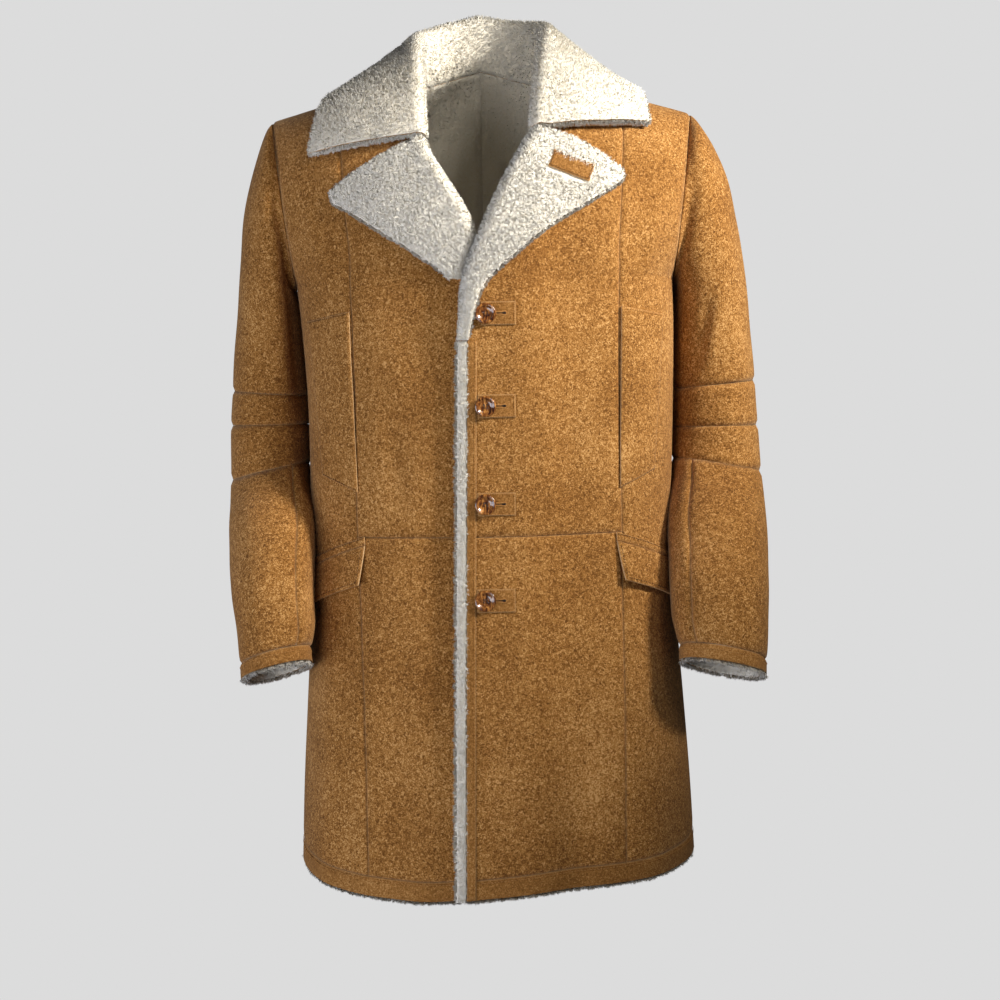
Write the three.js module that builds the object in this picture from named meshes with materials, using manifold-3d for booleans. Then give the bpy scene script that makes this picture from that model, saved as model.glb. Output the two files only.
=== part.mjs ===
// A shearling coat for a man, in the shape that it has when it is worn, with nobody in it.
// Millimetres. +X is the wearer's left, +Y is behind the wearer and +Z is up. The origin is the middle of
// the shoulder line, at the height where the shoulder seams meet the neck.
// Every panel is one thick hide with its wool on: the suede faces out and the sheared fleece faces in.
import * as THREE from "three";
import { mergeVertices } from "three/addons/utils/BufferGeometryUtils.js";
import Module from "manifold-3d";

const wasm = await Module();
wasm.setup();

// Walls and seams
const HIDE = 8; // hide and sheared fleece together
const SEAM = 0.3; // between two pieces that are sewn together
const HALF_SEAM = SEAM / 2;
const SEAT = 0.8; // under a flat piece that lies on a curved panel

// Levels of the body
const UNDERARM_Z = -235;
const WAIST_Z = -515;
const HEM_SIDE_Z = -880;
const HEM_FRONT_DROP = { right: 21, left: 9 }; // the hem hangs lower on the wearer's right
const HEM_BACK_DROP = 8;
const HEM_BAND = 20;

// Shoulders and neck
const NECK_X = 78;
const NECK_Z = -2;
const NECK_RISE = 30; // how far the back rises over the neck's root
const SHOULDER_X = 240;
const SHOULDER_SLOPE = 0.267;
const SHOULDER_SEAM_Y = 8;
const NECK_BACK_DEPTH = 62; // from the shoulder seam back to the middle of the neck seam

// Exponents of the rounded sections
const PLAN_POWER = 2.4;
const DOME_POWER = 2.3;

// The torso's outer sections, from the underarm down to the hem.
const SECTIONS = [
  { z: -235, left: 215, right: 215, front: 143, back: 128 },
  { z: -285, left: 215, right: 210, front: 145, back: 125 },
  { z: -360, left: 213, right: 205, front: 144, back: 119 },
  { z: -440, left: 210, right: 204, front: 141, back: 115 },
  { z: -515, left: 207, right: 205, front: 141, back: 117 },
  { z: -600, left: 210, right: 205.5, front: 147, back: 128 },
  { z: -700, left: 216.5, right: 211.5, front: 156, back: 140 },
  { z: -800, left: 222.5, right: 217.5, front: 166, back: 150 },
  { z: -905, left: 226.5, right: 221.5, front: 176, back: 158 },
];
const CHEST_HALF_WIDTH = 215; // at the underarm
const SHOULDER_WIDENING = 31; // from the underarm section to the shoulder section
const WIDENING_POWER = 6.5;

// Seam places, as distances from the middle of the coat
const PRINCESS = [
  { z: -905, x: 140 },
  { z: -700, x: 142 },
  { z: -515, x: 146 },
  { z: -285, x: 147 },
  { z: -100, x: 156 },
  { z: 0, x: 163 },
];

// The closing edge of the left front, which laps over the right one, then the line its lapel bends on.
const LEFT_BOUNDARY = [
  { z: -905, x: -32.5 },
  { z: -690, x: -28.5 },
  { z: -525, x: -25 },
  { z: -300, x: -19.5 },
  { z: -275, x: -17 },
  { z: -262, x: -16.2 },
  { z: -228, x: -9.7 },
  { z: -197, x: 2.6 },
  { z: -177, x: 11.7 },
  { z: -151, x: 23.8 },
  { z: -122, x: 38.8 },
  { z: -91, x: 56.7 },
  { z: -74, x: 67 },
  { z: -2, x: 78 },
];
// The same for the right front, measured towards the wearer's right. It goes on under the left front.
const RIGHT_BOUNDARY = [
  { z: -905, x: -15.5 },
  { z: -690, x: -19.5 },
  { z: -525, x: -23 },
  { z: -300, x: -28.5 },
  { z: -275, x: -26 },
  { z: -262, x: -18 },
  { z: -230, x: 2 },
  { z: -205, x: 14 },
  { z: -182, x: 22 },
  { z: -158, x: 33 },
  { z: -132, x: 49 },
  { z: -105, x: 65 },
  { z: -92, x: 70.4 },
  { z: -81, x: 74 },
  { z: -2, x: 78 },
];
const LAP_LIFT = HIDE + 1.6;
const EDGE_BAND = { wide: 10, thick: 1 };
const PILE_STRIP = 10;
const ROLL_OUTER_RADIUS = 9.3;
const ROLL_INNER_RADIUS = 1.3;
const ROLL_GAP = 1;

// The lapels: the line they bend on and their free edges, both from the closure (0) to the top (1).
const LEFT_LAPEL = {
  gorgeZ: -74,
  bow: 6,
  rows: [
    { s: 0, bendZ: -302, edgeX: -18.6, edgeZ: -302 },
    { s: 0.08, bendZ: -281, edgeX: -14.2, edgeZ: -281 },
    { s: 0.16, bendZ: -259, edgeX: -8.6, edgeZ: -260 },
    { s: 0.24, bendZ: -241, edgeX: -2.5, edgeZ: -246 },
    { s: 0.34, bendZ: -216, edgeX: 10, edgeZ: -229 },
    { s: 0.44, bendZ: -191, edgeX: 27.5, edgeZ: -214 },
    { s: 0.56, bendZ: -167, edgeX: 51, edgeZ: -194 },
    { s: 0.66, bendZ: -145, edgeX: 75, edgeZ: -177 },
    { s: 0.78, bendZ: -118, edgeX: 103.5, edgeZ: -160 },
    { s: 0.89, bendZ: -94, edgeX: 131, edgeZ: -144 },
    { s: 0.965, bendZ: -81, edgeX: 149, edgeZ: -132 },
    { s: 1, bendZ: -77, edgeX: 151, edgeZ: -123 },
  ],
};
const RIGHT_LAPEL = {
  gorgeZ: -81,
  bow: 3,
  rows: [
    { s: 0, bendZ: -236, edgeX: 37, edgeZ: -236 },
    { s: 0.12, bendZ: -219, edgeX: 49, edgeZ: -224 },
    { s: 0.25, bendZ: -200, edgeX: 67, edgeZ: -211 },
    { s: 0.38, bendZ: -181, edgeX: 86, edgeZ: -197.5 },
    { s: 0.52, bendZ: -156.5, edgeX: 108, edgeZ: -183.5 },
    { s: 0.66, bendZ: -132, edgeX: 128, edgeZ: -170 },
    { s: 0.8, bendZ: -108, edgeX: 146, edgeZ: -158 },
    { s: 0.92, bendZ: -94, edgeX: 160, edgeZ: -150 },
    { s: 1, bendZ: -86, edgeX: 164, edgeZ: -139 },
  ],
};
// The right lapel keeps clear of the left one, so its bend leaves its front's edge below the crossing.
const CROSSING_Z = -182;
const RIGHT_BEND = [
  { z: -238, x: 32.5 },
  { z: -219, x: 27.3 },
  { z: -200, x: 21.5 },
  ...RIGHT_BOUNDARY.filter((row) => row.z >= CROSSING_Z),
];
const RIGHT_HOOK_LOW_Z = -184; // below this the right lapel only lies on its front
const RIGHT_HOOK_HIGH_Z = -174;

// Half collars, from the middle of the back (along 0) by the shoulder seam (0.55) to the front end (1):
// where the fold is from the neck seam, and where the free edge lies on the body. Across 0 is the shoulder
// seam, -1 the chest line and +1 the same line on the back.
const LEFT_COLLAR = [
  { along: 0, foldX: 0, foldY: 14, foldZ: 52, edgeX: 0, edgeAcross: 0.55 },
  { along: 0.12, foldX: -1, foldY: 15, foldZ: 54, edgeX: 38, edgeAcross: 0.51 },
  { along: 0.25, foldX: -1, foldY: 16, foldZ: 58, edgeX: 75, edgeAcross: 0.42 },
  { along: 0.45, foldX: 1, foldY: 17, foldZ: 59, edgeX: 130, edgeAcross: 0.3 },
  { along: 0.62, foldX: 2, foldY: 20, foldZ: 49, edgeX: 162, edgeAcross: 0.1 },
  { along: 0.8, foldX: -1.5, foldY: 16, foldZ: 28, edgeX: 179, edgeAcross: -0.13 },
  { along: 1, foldX: -2.5, foldY: -1, foldZ: 2.5, edgeX: 183, edgeAcross: -0.42 },
];
const RIGHT_COLLAR = [
  { along: 0, foldX: 0, foldY: 14, foldZ: 52, edgeX: 0, edgeAcross: 0.55 },
  { along: 0.12, foldX: -1, foldY: 15, foldZ: 54, edgeX: 37, edgeAcross: 0.51 },
  { along: 0.25, foldX: -1, foldY: 16, foldZ: 54, edgeX: 70, edgeAcross: 0.42 },
  { along: 0.45, foldX: -1, foldY: 17, foldZ: 50, edgeX: 120, edgeAcross: 0.3 },
  { along: 0.62, foldX: -2, foldY: 19, foldZ: 39, edgeX: 151, edgeAcross: 0.1 },
  { along: 0.8, foldX: -2, foldY: 13, foldZ: 20, edgeX: 174, edgeAcross: -0.18 },
  { along: 1, foldX: -2.5, foldY: -1, foldZ: 2.5, edgeX: 187, edgeAcross: -0.55 },
];
const SHOULDER_ALONG = 0.55;
const COLLAR_LIFT = 1.6;
const COLLAR_THICK = 9.5;

// Sleeve sections: the heights of their ends towards the body and away from it, the middle's depth, half
// the depth, and how much higher the front is than the middle. The last ones, from 7 on, are mostly seams.
const SLEEVE = [
  { inZ: -240, outZ: -58, y: 4, half: 62, rise: 0 },
  { inZ: -243, outZ: -84, y: 5, half: 67, rise: 0 },
  { inZ: -247, outZ: -118, y: 8, half: 69, rise: 0 },
  { inZ: -254, outZ: -160, y: 13, half: 70, rise: 0 },
  { inZ: -268, outZ: -206, y: 19, half: 69, rise: 0 },
  { inZ: -294, outZ: -256, y: 25, half: 67, rise: 0 },
  { inZ: -328, outZ: -306, y: 29, half: 65, rise: 0 },
  { inZ: -361, outZ: -354, y: 29, half: 63, rise: 0 },
  { inZ: -400, outZ: -400, y: 24, half: 61, rise: 2 },
  { inZ: -441, outZ: -459, y: 12, half: 59, rise: 6 },
  { inZ: -500, outZ: -520, y: -34, half: 57, rise: 12 },
  { inZ: -558, outZ: -580, y: -73, half: 55, rise: 15 },
  { inZ: -598, outZ: -622, y: -90, half: 52, rise: 15 },
  { inZ: -640, outZ: -659, y: -98, half: 50, rise: 14 },
  { inZ: -656, outZ: -675, y: -101, half: 49.5, rise: 14 },
];
// Distances from the middle of the coat at both ends of each section, one list for each sleeve.
const LEFT_SLEEVE = {
  inX: [217, 218, 218, 218, 217, 216, 215, 214, 213, 212, 208, 206, 206, 206, 206],
  outX: [250, 266, 280, 290, 298, 304, 308, 311, 313, 315, 313, 309, 305, 302, 301],
  deepen: 0,
  lift: -1.5,
  bandLift: -6,
};
const RIGHT_SLEEVE = {
  inX: [217, 218, 217, 215, 213, 211, 208.5, 206.5, 206, 205.5, 203, 203.5, 203, 200, 198],
  outX: [247, 257, 267, 276, 281, 286, 291, 295, 297, 297, 294, 288, 281, 277, 276],
  deepen: 6, // at the cuff
  lift: 5, // at the cuff
  bandLift: 5, // at the seam between the elbow bands
};
const BAND_TOP_SECTION = 7;
const BAND_MIDDLE_SECTION = 8;
const BAND_BOTTOM_SECTION = 9;
const CUFF_SEAM_SECTION = 13;
const CUFF_END_SECTION = 14;
const SLEEVE_POWER = 2.2;
const SLEEVE_HIDE = 7;
// Pockets. The chest panel is given by its corners, seen from the front. The flap goes round the side.
const CHEST_POCKET = [
  { x: 148, z: -268 },
  { x: 197, z: -277 },
  { x: 183, z: -448 },
  { x: 143, z: -466 },
];
const CHEST_POCKET_THICK = 2.4;
const FLAP = { firstTurn: 0.66, lastTurn: 1.47, firstZ: -524, lastZ: -562, deep: 43, thick: 3.4, stand: 6.5 };
const WELT = { wide: 9, thick: 2.2 };

// Buttons and what they go through
const BUTTON_X = -3;
const BUTTON_LEAN = 0.021;
const BUTTON_MIDDLE_Z = -430;
const BUTTON_Z = [-274, -373, -479, -583];
const BUTTON_RADIUS = 11.5;
const BUTTON_HOLE_RADIUS = 1.1;
const BUTTON_HOLE_SPREAD = 2.4;
const PATCH = { wide: 46, high: 25, thick: 1.1, left: -14 };
const LABEL = { x: 94, z: -118.5, wide: 47, high: 19, thick: 1.6, turn: -0.37 };

// Grid counts
const UPPER_ROWS = 11;
const CHEST_ROWS = 5;
const SKIRT_ROWS = 5;
const FRONT_COLUMNS = 7;
const SIDE_COLUMNS = 5;
const NECK_COLUMNS = 5;
const BACK_COLUMNS = 6;

// The largest folds: soft troughs (negative) and ridges on the outer skin, seen from the front or back.
const FOLDS = [
  { side: "front", x1: 186, z1: -120, x2: 160, z2: -205, wide: 20, deep: -4 },
  { side: "front", x1: -190, z1: -130, x2: -150, z2: -215, wide: 20, deep: -3.5 },
  { side: "front", x1: 84, z1: -640, x2: 92, z2: -890, wide: 26, deep: -5 },
  { side: "front", x1: 150, z1: -640, x2: 168, z2: -890, wide: 30, deep: 5 },
  { side: "front", x1: -100, z1: -660, x2: -110, z2: -890, wide: 32, deep: -5 },
  { side: "front", x1: -190, z1: -640, x2: -195, z2: -890, wide: 26, deep: 4 },
  { side: "back", x1: 90, z1: -560, x2: 105, z2: -890, wide: 34, deep: -7 },
  { side: "back", x1: -80, z1: -580, x2: -100, z2: -890, wide: 34, deep: -6 },
  { side: "back", x1: 0, z1: -150, x2: 4, z2: -330, wide: 36, deep: -4 },
  { side: "back", x1: 150, z1: -130, x2: 120, z2: -260, wide: 26, deep: -4 },
  { side: "back", x1: -150, z1: -130, x2: -122, z2: -260, wide: 26, deep: -4 },
];

const suede = new THREE.MeshStandardMaterial({ color: 0xa8692f, roughness: 0.92, metalness: 0 });
const smoothSuede = new THREE.MeshStandardMaterial({ color: 0xb0702f, roughness: 0.85, metalness: 0 });
const fleece = new THREE.MeshStandardMaterial({ color: 0xe9e0cc, roughness: 1, metalness: 0 });
const horn = new THREE.MeshStandardMaterial({ color: 0x5a3417, roughness: 0.25, metalness: 0 });

const vec = (x, y, z) => new THREE.Vector3(x, y, z);
const mix = (a, b, t) => a + (b - a) * t;
const smooth = (low, high, value) => {
  const t = Math.min(1, Math.max(0, (value - low) / (high - low)));
  return t * t * (3 - 2 * t);
};
const signedPower = (value, power) => Math.sign(value) * Math.abs(value) ** power;

// A column of a table at a given key, on a smooth curve through its rows.
function tableAt(rows, key, name, value) {
  const rising = rows[rows.length - 1][key] > rows[0][key];
  const list = rising ? rows : [...rows].reverse();
  if (value <= list[0][key]) return list[0][name];
  const last = list.length - 1;
  if (value >= list[last][key]) return list[last][name];
  let i = 0;
  while (list[i + 1][key] < value) i++;
  const slopeAt = (k) => {
    const low = list[Math.max(0, k - 1)];
    const high = list[Math.min(last, k + 1)];
    return (high[name] - low[name]) / (high[key] - low[key]);
  };
  const span = list[i + 1][key] - list[i][key];
  const t = (value - list[i][key]) / span;
  const a = list[i][name];
  const b = list[i + 1][name];
  return (
    a * (2 * t ** 3 - 3 * t ** 2 + 1) +
    slopeAt(i) * span * (t ** 3 - 2 * t ** 2 + t) +
    b * (3 * t ** 2 - 2 * t ** 3) +
    slopeAt(i + 1) * span * (t ** 3 - t ** 2)
  );
}

const shoulderZ = (x) => {
  const across = Math.min(1, Math.abs(x) / NECK_X);
  return NECK_Z - SHOULDER_SLOPE * (Math.abs(x) - NECK_X) + NECK_RISE * (1 - across ** 2) ** 1.5;
};
const hemZ = (turn) => {
  const forward = Math.cos(turn);
  const frontDrop = mix(HEM_FRONT_DROP.right, HEM_FRONT_DROP.left, smooth(-0.35, 0.3, turn));
  return HEM_SIDE_Z - (forward > 0 ? frontDrop : -HEM_BACK_DROP) * forward;
};

// A row of the torso: {up: 0 to 1} from the underarm to the shoulder seam, {z} below that, {skirt: 0 to 1}
// from the hem band up to the waist seam, or {hem: height over the hem}.
const heightOf = (row, turn) => {
  if (row.z !== undefined) return row.z;
  if (row.hem !== undefined) return hemZ(turn) + row.hem;
  return mix(hemZ(turn) + HEM_BAND, WAIST_Z, row.skirt);
};
function halfWidthOf(row, turn) {
  if (row.up !== undefined)
    return CHEST_HALF_WIDTH + SHOULDER_WIDENING * (1 - (1 - row.up) ** WIDENING_POWER);
  return tableAt(SECTIONS, "z", turn > 0 ? "left" : "right", heightOf(row, turn));
}
const leanOf = (row) => (row.up * Math.PI) / 2;

// The plan angle at which a row has this distance from the middle. 0 is the front, a quarter turn the side.
const turnOf = (x, row) => {
  const share = Math.min(1, Math.abs(x) / halfWidthOf(row, 0.001 * Math.sign(x)));
  return Math.sign(x) * Math.asin(share ** (PLAN_POWER / 2));
};

// The outer skin before folds: a rounded section below the underarm, and above it a dome whose height at
// each distance from the middle is the shoulder line's.
function plainSkin(row, turn) {
  const front = Math.cos(turn) > 0;
  const x = halfWidthOf(row, turn) * signedPower(Math.sin(turn), 2 / PLAN_POWER);
  const reach = Math.abs(Math.cos(turn)) ** (2 / PLAN_POWER);
  if (row.up === undefined) {
    const z = heightOf(row, turn);
    const depth = front ? -tableAt(SECTIONS, "z", "front", z) : tableAt(SECTIONS, "z", "back", z);
    return vec(x, depth * reach, z);
  }
  const lean = leanOf(row);
  const depth = front ? -SECTIONS[0].front : SECTIONS[0].back;
  return vec(
    x,
    SHOULDER_SEAM_Y * (1 - Math.cos(lean)) + depth * reach * Math.abs(Math.cos(lean)) ** (2 / DOME_POWER),
    UNDERARM_Z + (shoulderZ(x) - UNDERARM_Z) * Math.sin(lean) ** (2 / DOME_POWER),
  );
}

const TURN_STEP = 0.004;
const UP_STEP = 0.006;
const Z_STEP = 1.5;
function normalOf(row, turn) {
  if (row.up !== undefined && row.up > 1 - UP_STEP / 2) {
    const { x } = plainSkin(row, turn);
    return vec(shoulderZ(x - Z_STEP) - shoulderZ(x + Z_STEP), 0, 2 * Z_STEP).normalize();
  }
  const across = plainSkin(row, turn + TURN_STEP).sub(plainSkin(row, turn - TURN_STEP));
  const z = row.up === undefined ? heightOf(row, turn) : 0;
  const above = row.up === undefined ? { z: z + Z_STEP } : { up: Math.min(1, row.up + UP_STEP) };
  const below = row.up === undefined ? { z: z - Z_STEP } : { up: Math.max(0, row.up - UP_STEP) };
  const up = plainSkin(above, turn).sub(plainSkin(below, turn));
  return across.cross(up).normalize();
}

// How far the folds push the skin out at a point seen from the front or back.
function foldAt(point, front) {
  let push = 0;
  for (const fold of FOLDS) {
    if ((fold.side === "front") !== front) continue;
    const dx = fold.x2 - fold.x1;
    const dz = fold.z2 - fold.z1;
    const length = Math.hypot(dx, dz);
    const t = ((point.x - fold.x1) * dx + (point.z - fold.z1) * dz) / length ** 2;
    const off = Math.abs((point.x - fold.x1) * dz - (point.z - fold.z1) * dx) / length;
    const ends = smooth(-0.35, 0.25, t) * (1 - smooth(0.85, 1.35, t));
    push += fold.deep * ends * Math.exp(-((off / fold.wide) ** 2));
  }
  return push;
}

// How far the left front is lifted where it laps over the right one.
const lapAt = (point) => LAP_LIFT * (1 - smooth(30, 98, point.x)) * (1 - smooth(-205, -110, point.z));

// The outer skin with folds, and the direction out of it. The left front is the layer "over".
function skin(row, turn, layer) {
  const point = plainSkin(row, turn);
  const out = normalOf(row, turn);
  const front = Math.cos(turn) > 0;
  let push = foldAt(point, front) * (1 - smooth(0.75, 0.95, Math.abs(Math.sin(turn))));
  if (layer === "over" && front) push += lapAt(point);
  return { point: point.addScaledVector(out, push), out };
}

// The row of the front or back that has this height at a distance x from the middle.
function rowAt(x, z) {
  if (z <= UNDERARM_Z) return { z };
  const share = Math.min(1, (z - UNDERARM_Z) / (shoulderZ(x) - UNDERARM_Z));
  return { up: (Math.asin(share ** (DOME_POWER / 2)) * 2) / Math.PI };
}
const frontSkin = (x, z, layer) => {
  const row = rowAt(x, z);
  return skin(row, turnOf(x, row), layer);
};

// Where a row crosses a table of x against z, as a signed x.
function crossing(table, row, side) {
  if (row.up === undefined) return side * tableAt(table, "z", "x", heightOf(row, 0));
  let x = side * tableAt(table, "z", "x", UNDERARM_Z);
  for (let i = 0; i < 14; i++) {
    const { z } = plainSkin(row, turnOf(x, row));
    x = mix(x, side * tableAt(table, "z", "x", z), 0.7);
  }
  return x;
}

// The row at which a table's line has this height.
function rowOfCrossing(table, z, side) {
  return rowAt(side * tableAt(table, "z", "x", z), z);
}

function volumeOf(positions, index) {
  let six = 0;
  const a = vec(0, 0, 0);
  const b = vec(0, 0, 0);
  const c = vec(0, 0, 0);
  for (let i = 0; i < index.length; i += 3) {
    a.fromArray(positions, index[i] * 3);
    b.fromArray(positions, index[i + 1] * 3);
    c.fromArray(positions, index[i + 2] * 3);
    six += a.dot(b.cross(c));
  }
  return six / 6;
}

function meshOf(name, material, positions, index) {
  const inward = volumeOf(positions, index) < 0;
  const geometry = new THREE.BufferGeometry();
  geometry.setAttribute("position", new THREE.Float32BufferAttribute(positions, 3));
  geometry.setIndex(inward ? [...index].reverse() : index);
  geometry.computeVertexNormals();
  const mesh = new THREE.Mesh(geometry, material);
  mesh.name = name;
  return mesh;
}

// A closed wall from a grid of cells, each an outer and an inner point. A tube closes across its columns.
function wall(name, material, grid, tube = false) {
  const rows = grid.length;
  const columns = grid[0].length;
  const positions = [];
  for (const face of ["outer", "inner"])
    for (const row of grid)
      for (const cell of row) positions.push(cell[face].x, cell[face].y, cell[face].z);
  const layer = rows * columns;
  const at = (i, j) => i * columns + (j % columns);
  const index = [];
  const quad = (a, b, c, d) => index.push(a, b, c, a, c, d);
  const spans = tube ? columns : columns - 1;
  for (let i = 0; i < rows - 1; i++)
    for (let j = 0; j < spans; j++) {
      quad(at(i, j), at(i, j + 1), at(i + 1, j + 1), at(i + 1, j));
      quad(layer + at(i, j), layer + at(i + 1, j), layer + at(i + 1, j + 1), layer + at(i, j + 1));
    }
  const last = rows - 1;
  for (let j = 0; j < spans; j++) {
    quad(at(0, j + 1), at(0, j), layer + at(0, j), layer + at(0, j + 1));
    quad(at(last, j), at(last, j + 1), layer + at(last, j + 1), layer + at(last, j));
  }
  const end = columns - 1;
  for (let i = 0; i < last && !tube; i++) {
    quad(at(i, 0), at(i + 1, 0), layer + at(i + 1, 0), layer + at(i, 0));
    quad(at(i + 1, end), at(i, end), layer + at(i, end), layer + at(i + 1, end));
  }
  return meshOf(name, material, positions, index);
}

const cellAt = ({ point, out }, outward, inward) => ({
  outer: point.clone().addScaledVector(out, outward),
  inner: point.clone().addScaledVector(out, inward),
});
const copyOf = (cell) => ({ outer: cell.outer.clone(), inner: cell.inner.clone() });
const between = (a, b, t) => ({
  outer: a.outer.clone().lerp(b.outer, t),
  inner: a.inner.clone().lerp(b.inner, t),
});
function draw(cell, towards, distance) {
  for (const face of ["outer", "inner"]) {
    const step = towards[face].clone().sub(cell[face]);
    cell[face].addScaledVector(step.normalize(), distance);
  }
}

// Draws the sides of a grid in by half a seam, so that neighbours stay a seam apart.
function trim(grid, { first = true, last = true, start = true, end = true }) {
  const rows = grid.length;
  const columns = grid[0].length;
  const made = grid.map((row) => row.map(copyOf));
  for (let j = 0; j < columns; j++) {
    if (first) draw(made[0][j], grid[1][j], HALF_SEAM);
    if (last) draw(made[rows - 1][j], grid[rows - 2][j], HALF_SEAM);
  }
  for (let i = 0; i < rows; i++) {
    if (start) draw(made[i][0], grid[i][1], HALF_SEAM);
    if (end) draw(made[i][columns - 1], grid[i][columns - 2], HALF_SEAM);
  }
  return made;
}

// Rows shared by every panel, so that neighbours meet point to point, from the bottom up.
const UPPER = Array.from({ length: UPPER_ROWS + 1 }, (_, k) => {
  const share = (1 - Math.cos((Math.PI * k) / UPPER_ROWS)) / 2;
  return { up: (Math.asin(share ** (DOME_POWER / 2)) * 2) / Math.PI };
});
const CHEST = Array.from({ length: CHEST_ROWS + 1 }, (_, k) => ({
  z: mix(WAIST_Z, UNDERARM_Z, k / CHEST_ROWS),
}));
const SKIRT = Array.from({ length: SKIRT_ROWS + 1 }, (_, k) => ({ skirt: k / SKIRT_ROWS }));
const HEM = [{ hem: 0 }, { hem: HEM_BAND }];
const WHOLE = [...SKIRT, ...CHEST.slice(1), ...UPPER.slice(1)];

const layerOf = (side) => (side > 0 ? "over" : "under");
const boundaryOf = (side) => (side > 0 ? LEFT_BOUNDARY : RIGHT_BOUNDARY);
const lapelOf = (side) => (side > 0 ? LEFT_LAPEL : RIGHT_LAPEL);
const nameOf = (stem, side) => `${stem}_${side > 0 ? "left" : "right"}`;

const armholeX = (row) => {
  const share = Math.sin(leanOf(row)) ** (2 / DOME_POWER);
  return mix(CHEST_HALF_WIDTH, SHOULDER_X, share ** 1.2);
};
const innerTurn = (row, side) => turnOf(crossing(boundaryOf(side), row, side), row);
const princessTurn = (row, side) => turnOf(crossing(PRINCESS, row, side), row);
const sideTurn = (row, side) =>
  row.up === undefined ? (side * Math.PI) / 2 : turnOf(side * armholeX(row), row);
const behind = (turn, side) => side * Math.PI - turn;

// The armhole's rim, from the underarm up the front, over the shoulder and down the back. The wall's
// thickness goes straight into the hole, so that the sleeve starts flush.
function armholeRim(side) {
  const rows = [CHEST[CHEST_ROWS], ...UPPER.slice(1)];
  const front = rows.map((row) => skin(row, sideTurn(row, side)).point);
  const back = rows.slice(1, -1).map((row) => skin(row, behind(sideTurn(row, side), side)).point);
  const points = [...front, ...back.reverse()];
  return points.map((point, k) => {
    const next = points[(k + 1) % points.length];
    const previous = points[(k + points.length - 1) % points.length];
    const along = next.clone().sub(previous);
    const inward = vec(0, along.z, -along.y).normalize();
    return { outer: point, inner: point.clone().addScaledVector(inward, HIDE) };
  });
}
const RIMS = { 1: armholeRim(1), "-1": armholeRim(-1) };
const rimCell = (side, k) => {
  const rim = RIMS[side];
  return copyOf(rim[(k + rim.length) % rim.length]);
};

// A panel between two seams of the front. The seams are given as plan angles for each row.
function frontGrid(rows, side, fromTurn, toTurn, columns) {
  return rows.map((row) => {
    const from = fromTurn(row, side);
    const to = toTurn(row, side);
    return Array.from({ length: columns + 1 }, (_, j) =>
      cellAt(skin(row, mix(from, to, j / columns), layerOf(side)), 0, -HIDE),
    );
  });
}

function frontRows(side) {
  const table = boundaryOf(side);
  const { gorgeZ } = lapelOf(side);
  const breakRow = { z: table[5].z };
  const gorgeRow = rowOfCrossing(table, gorgeZ, side);
  const upper = [...UPPER.slice(1), gorgeRow].sort((a, b) => a.up - b.up);
  const chest = [...CHEST, breakRow].sort((a, b) => a.z - b.z);
  return { rows: [...chest, ...upper], gorgeRow };
}
const FRONT = { 1: frontRows(1), "-1": frontRows(-1) };
const FRONT_UPPER_GRID = {
  1: trim(frontGrid(FRONT[1].rows, 1, innerTurn, princessTurn, FRONT_COLUMNS), {}),
  "-1": trim(frontGrid(FRONT[-1].rows, -1, innerTurn, princessTurn, FRONT_COLUMNS), {}),
};

function frontUpper(side) {
  return wall(nameOf("front_upper", side), suede, FRONT_UPPER_GRID[side]);
}
function frontSkirt(side) {
  const grid = frontGrid(SKIRT, side, innerTurn, princessTurn, FRONT_COLUMNS);
  return wall(nameOf("front_skirt", side), suede, trim(grid, {}));
}
function sideFront(side) {
  const grid = frontGrid(WHOLE, side, princessTurn, sideTurn, SIDE_COLUMNS);
  const first = grid.length - UPPER.length;
  for (let k = 0; k < UPPER.length; k++) grid[first + k][SIDE_COLUMNS] = rimCell(side, k);
  const made = trim(grid, { end: false });
  for (let k = 0; k <= first; k++) draw(made[k][SIDE_COLUMNS], grid[k][SIDE_COLUMNS - 1], HALF_SEAM);
  return wall(nameOf("side_front", side), suede, made);
}

// The height, as a share of the dome, at which the back's neck seam runs at a distance x from the middle.
function neckUp(x) {
  if (Math.abs(x) >= NECK_X) return 1;
  const wanted = SHOULDER_SEAM_Y + NECK_BACK_DEPTH * Math.sqrt(1 - (x / NECK_X) ** 2);
  let low = 0.3;
  let high = 1;
  for (let i = 0; i < 30; i++) {
    const up = (low + high) / 2;
    const row = { up };
    if (plainSkin(row, Math.PI - turnOf(x, row)).y > wanted) low = up;
    else high = up;
  }
  return low;
}

// A back panel, from the middle seam to the side seam and armhole. Above the underarm its middle columns
// stop at the neck seam instead of the shoulder seam.
const BACK_TURN = 0.62;
function backGrid(rows, side) {
  return rows.map((row) => {
    const k = row.up === undefined ? 0 : UPPER.indexOf(row) / UPPER_ROWS;
    const neckTurn = mix(BACK_TURN, turnOf(NECK_X, UPPER[UPPER_ROWS]), k);
    const cells = [];
    for (let j = 0; j <= NECK_COLUMNS; j++) {
      const topX = NECK_X * Math.sin((Math.PI * j) / (2 * NECK_COLUMNS));
      const here = row.up === undefined ? row : { up: row.up * neckUp(topX) };
      const topTurn = turnOf(topX, { up: neckUp(topX) });
      const turn = mix((BACK_TURN * j) / NECK_COLUMNS, topTurn, k);
      cells.push(cellAt(skin(here, behind(side * turn, side)), 0, -HIDE));
    }
    for (let j = 1; j <= BACK_COLUMNS; j++) {
      const turn = mix(neckTurn, Math.abs(sideTurn(row, side)), j / BACK_COLUMNS);
      cells.push(cellAt(skin(row, behind(side * turn, side)), 0, -HIDE));
    }
    return cells;
  });
}
const BACK_ROWS = { 1: backPanelGrid(1), "-1": backPanelGrid(-1) };
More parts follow.
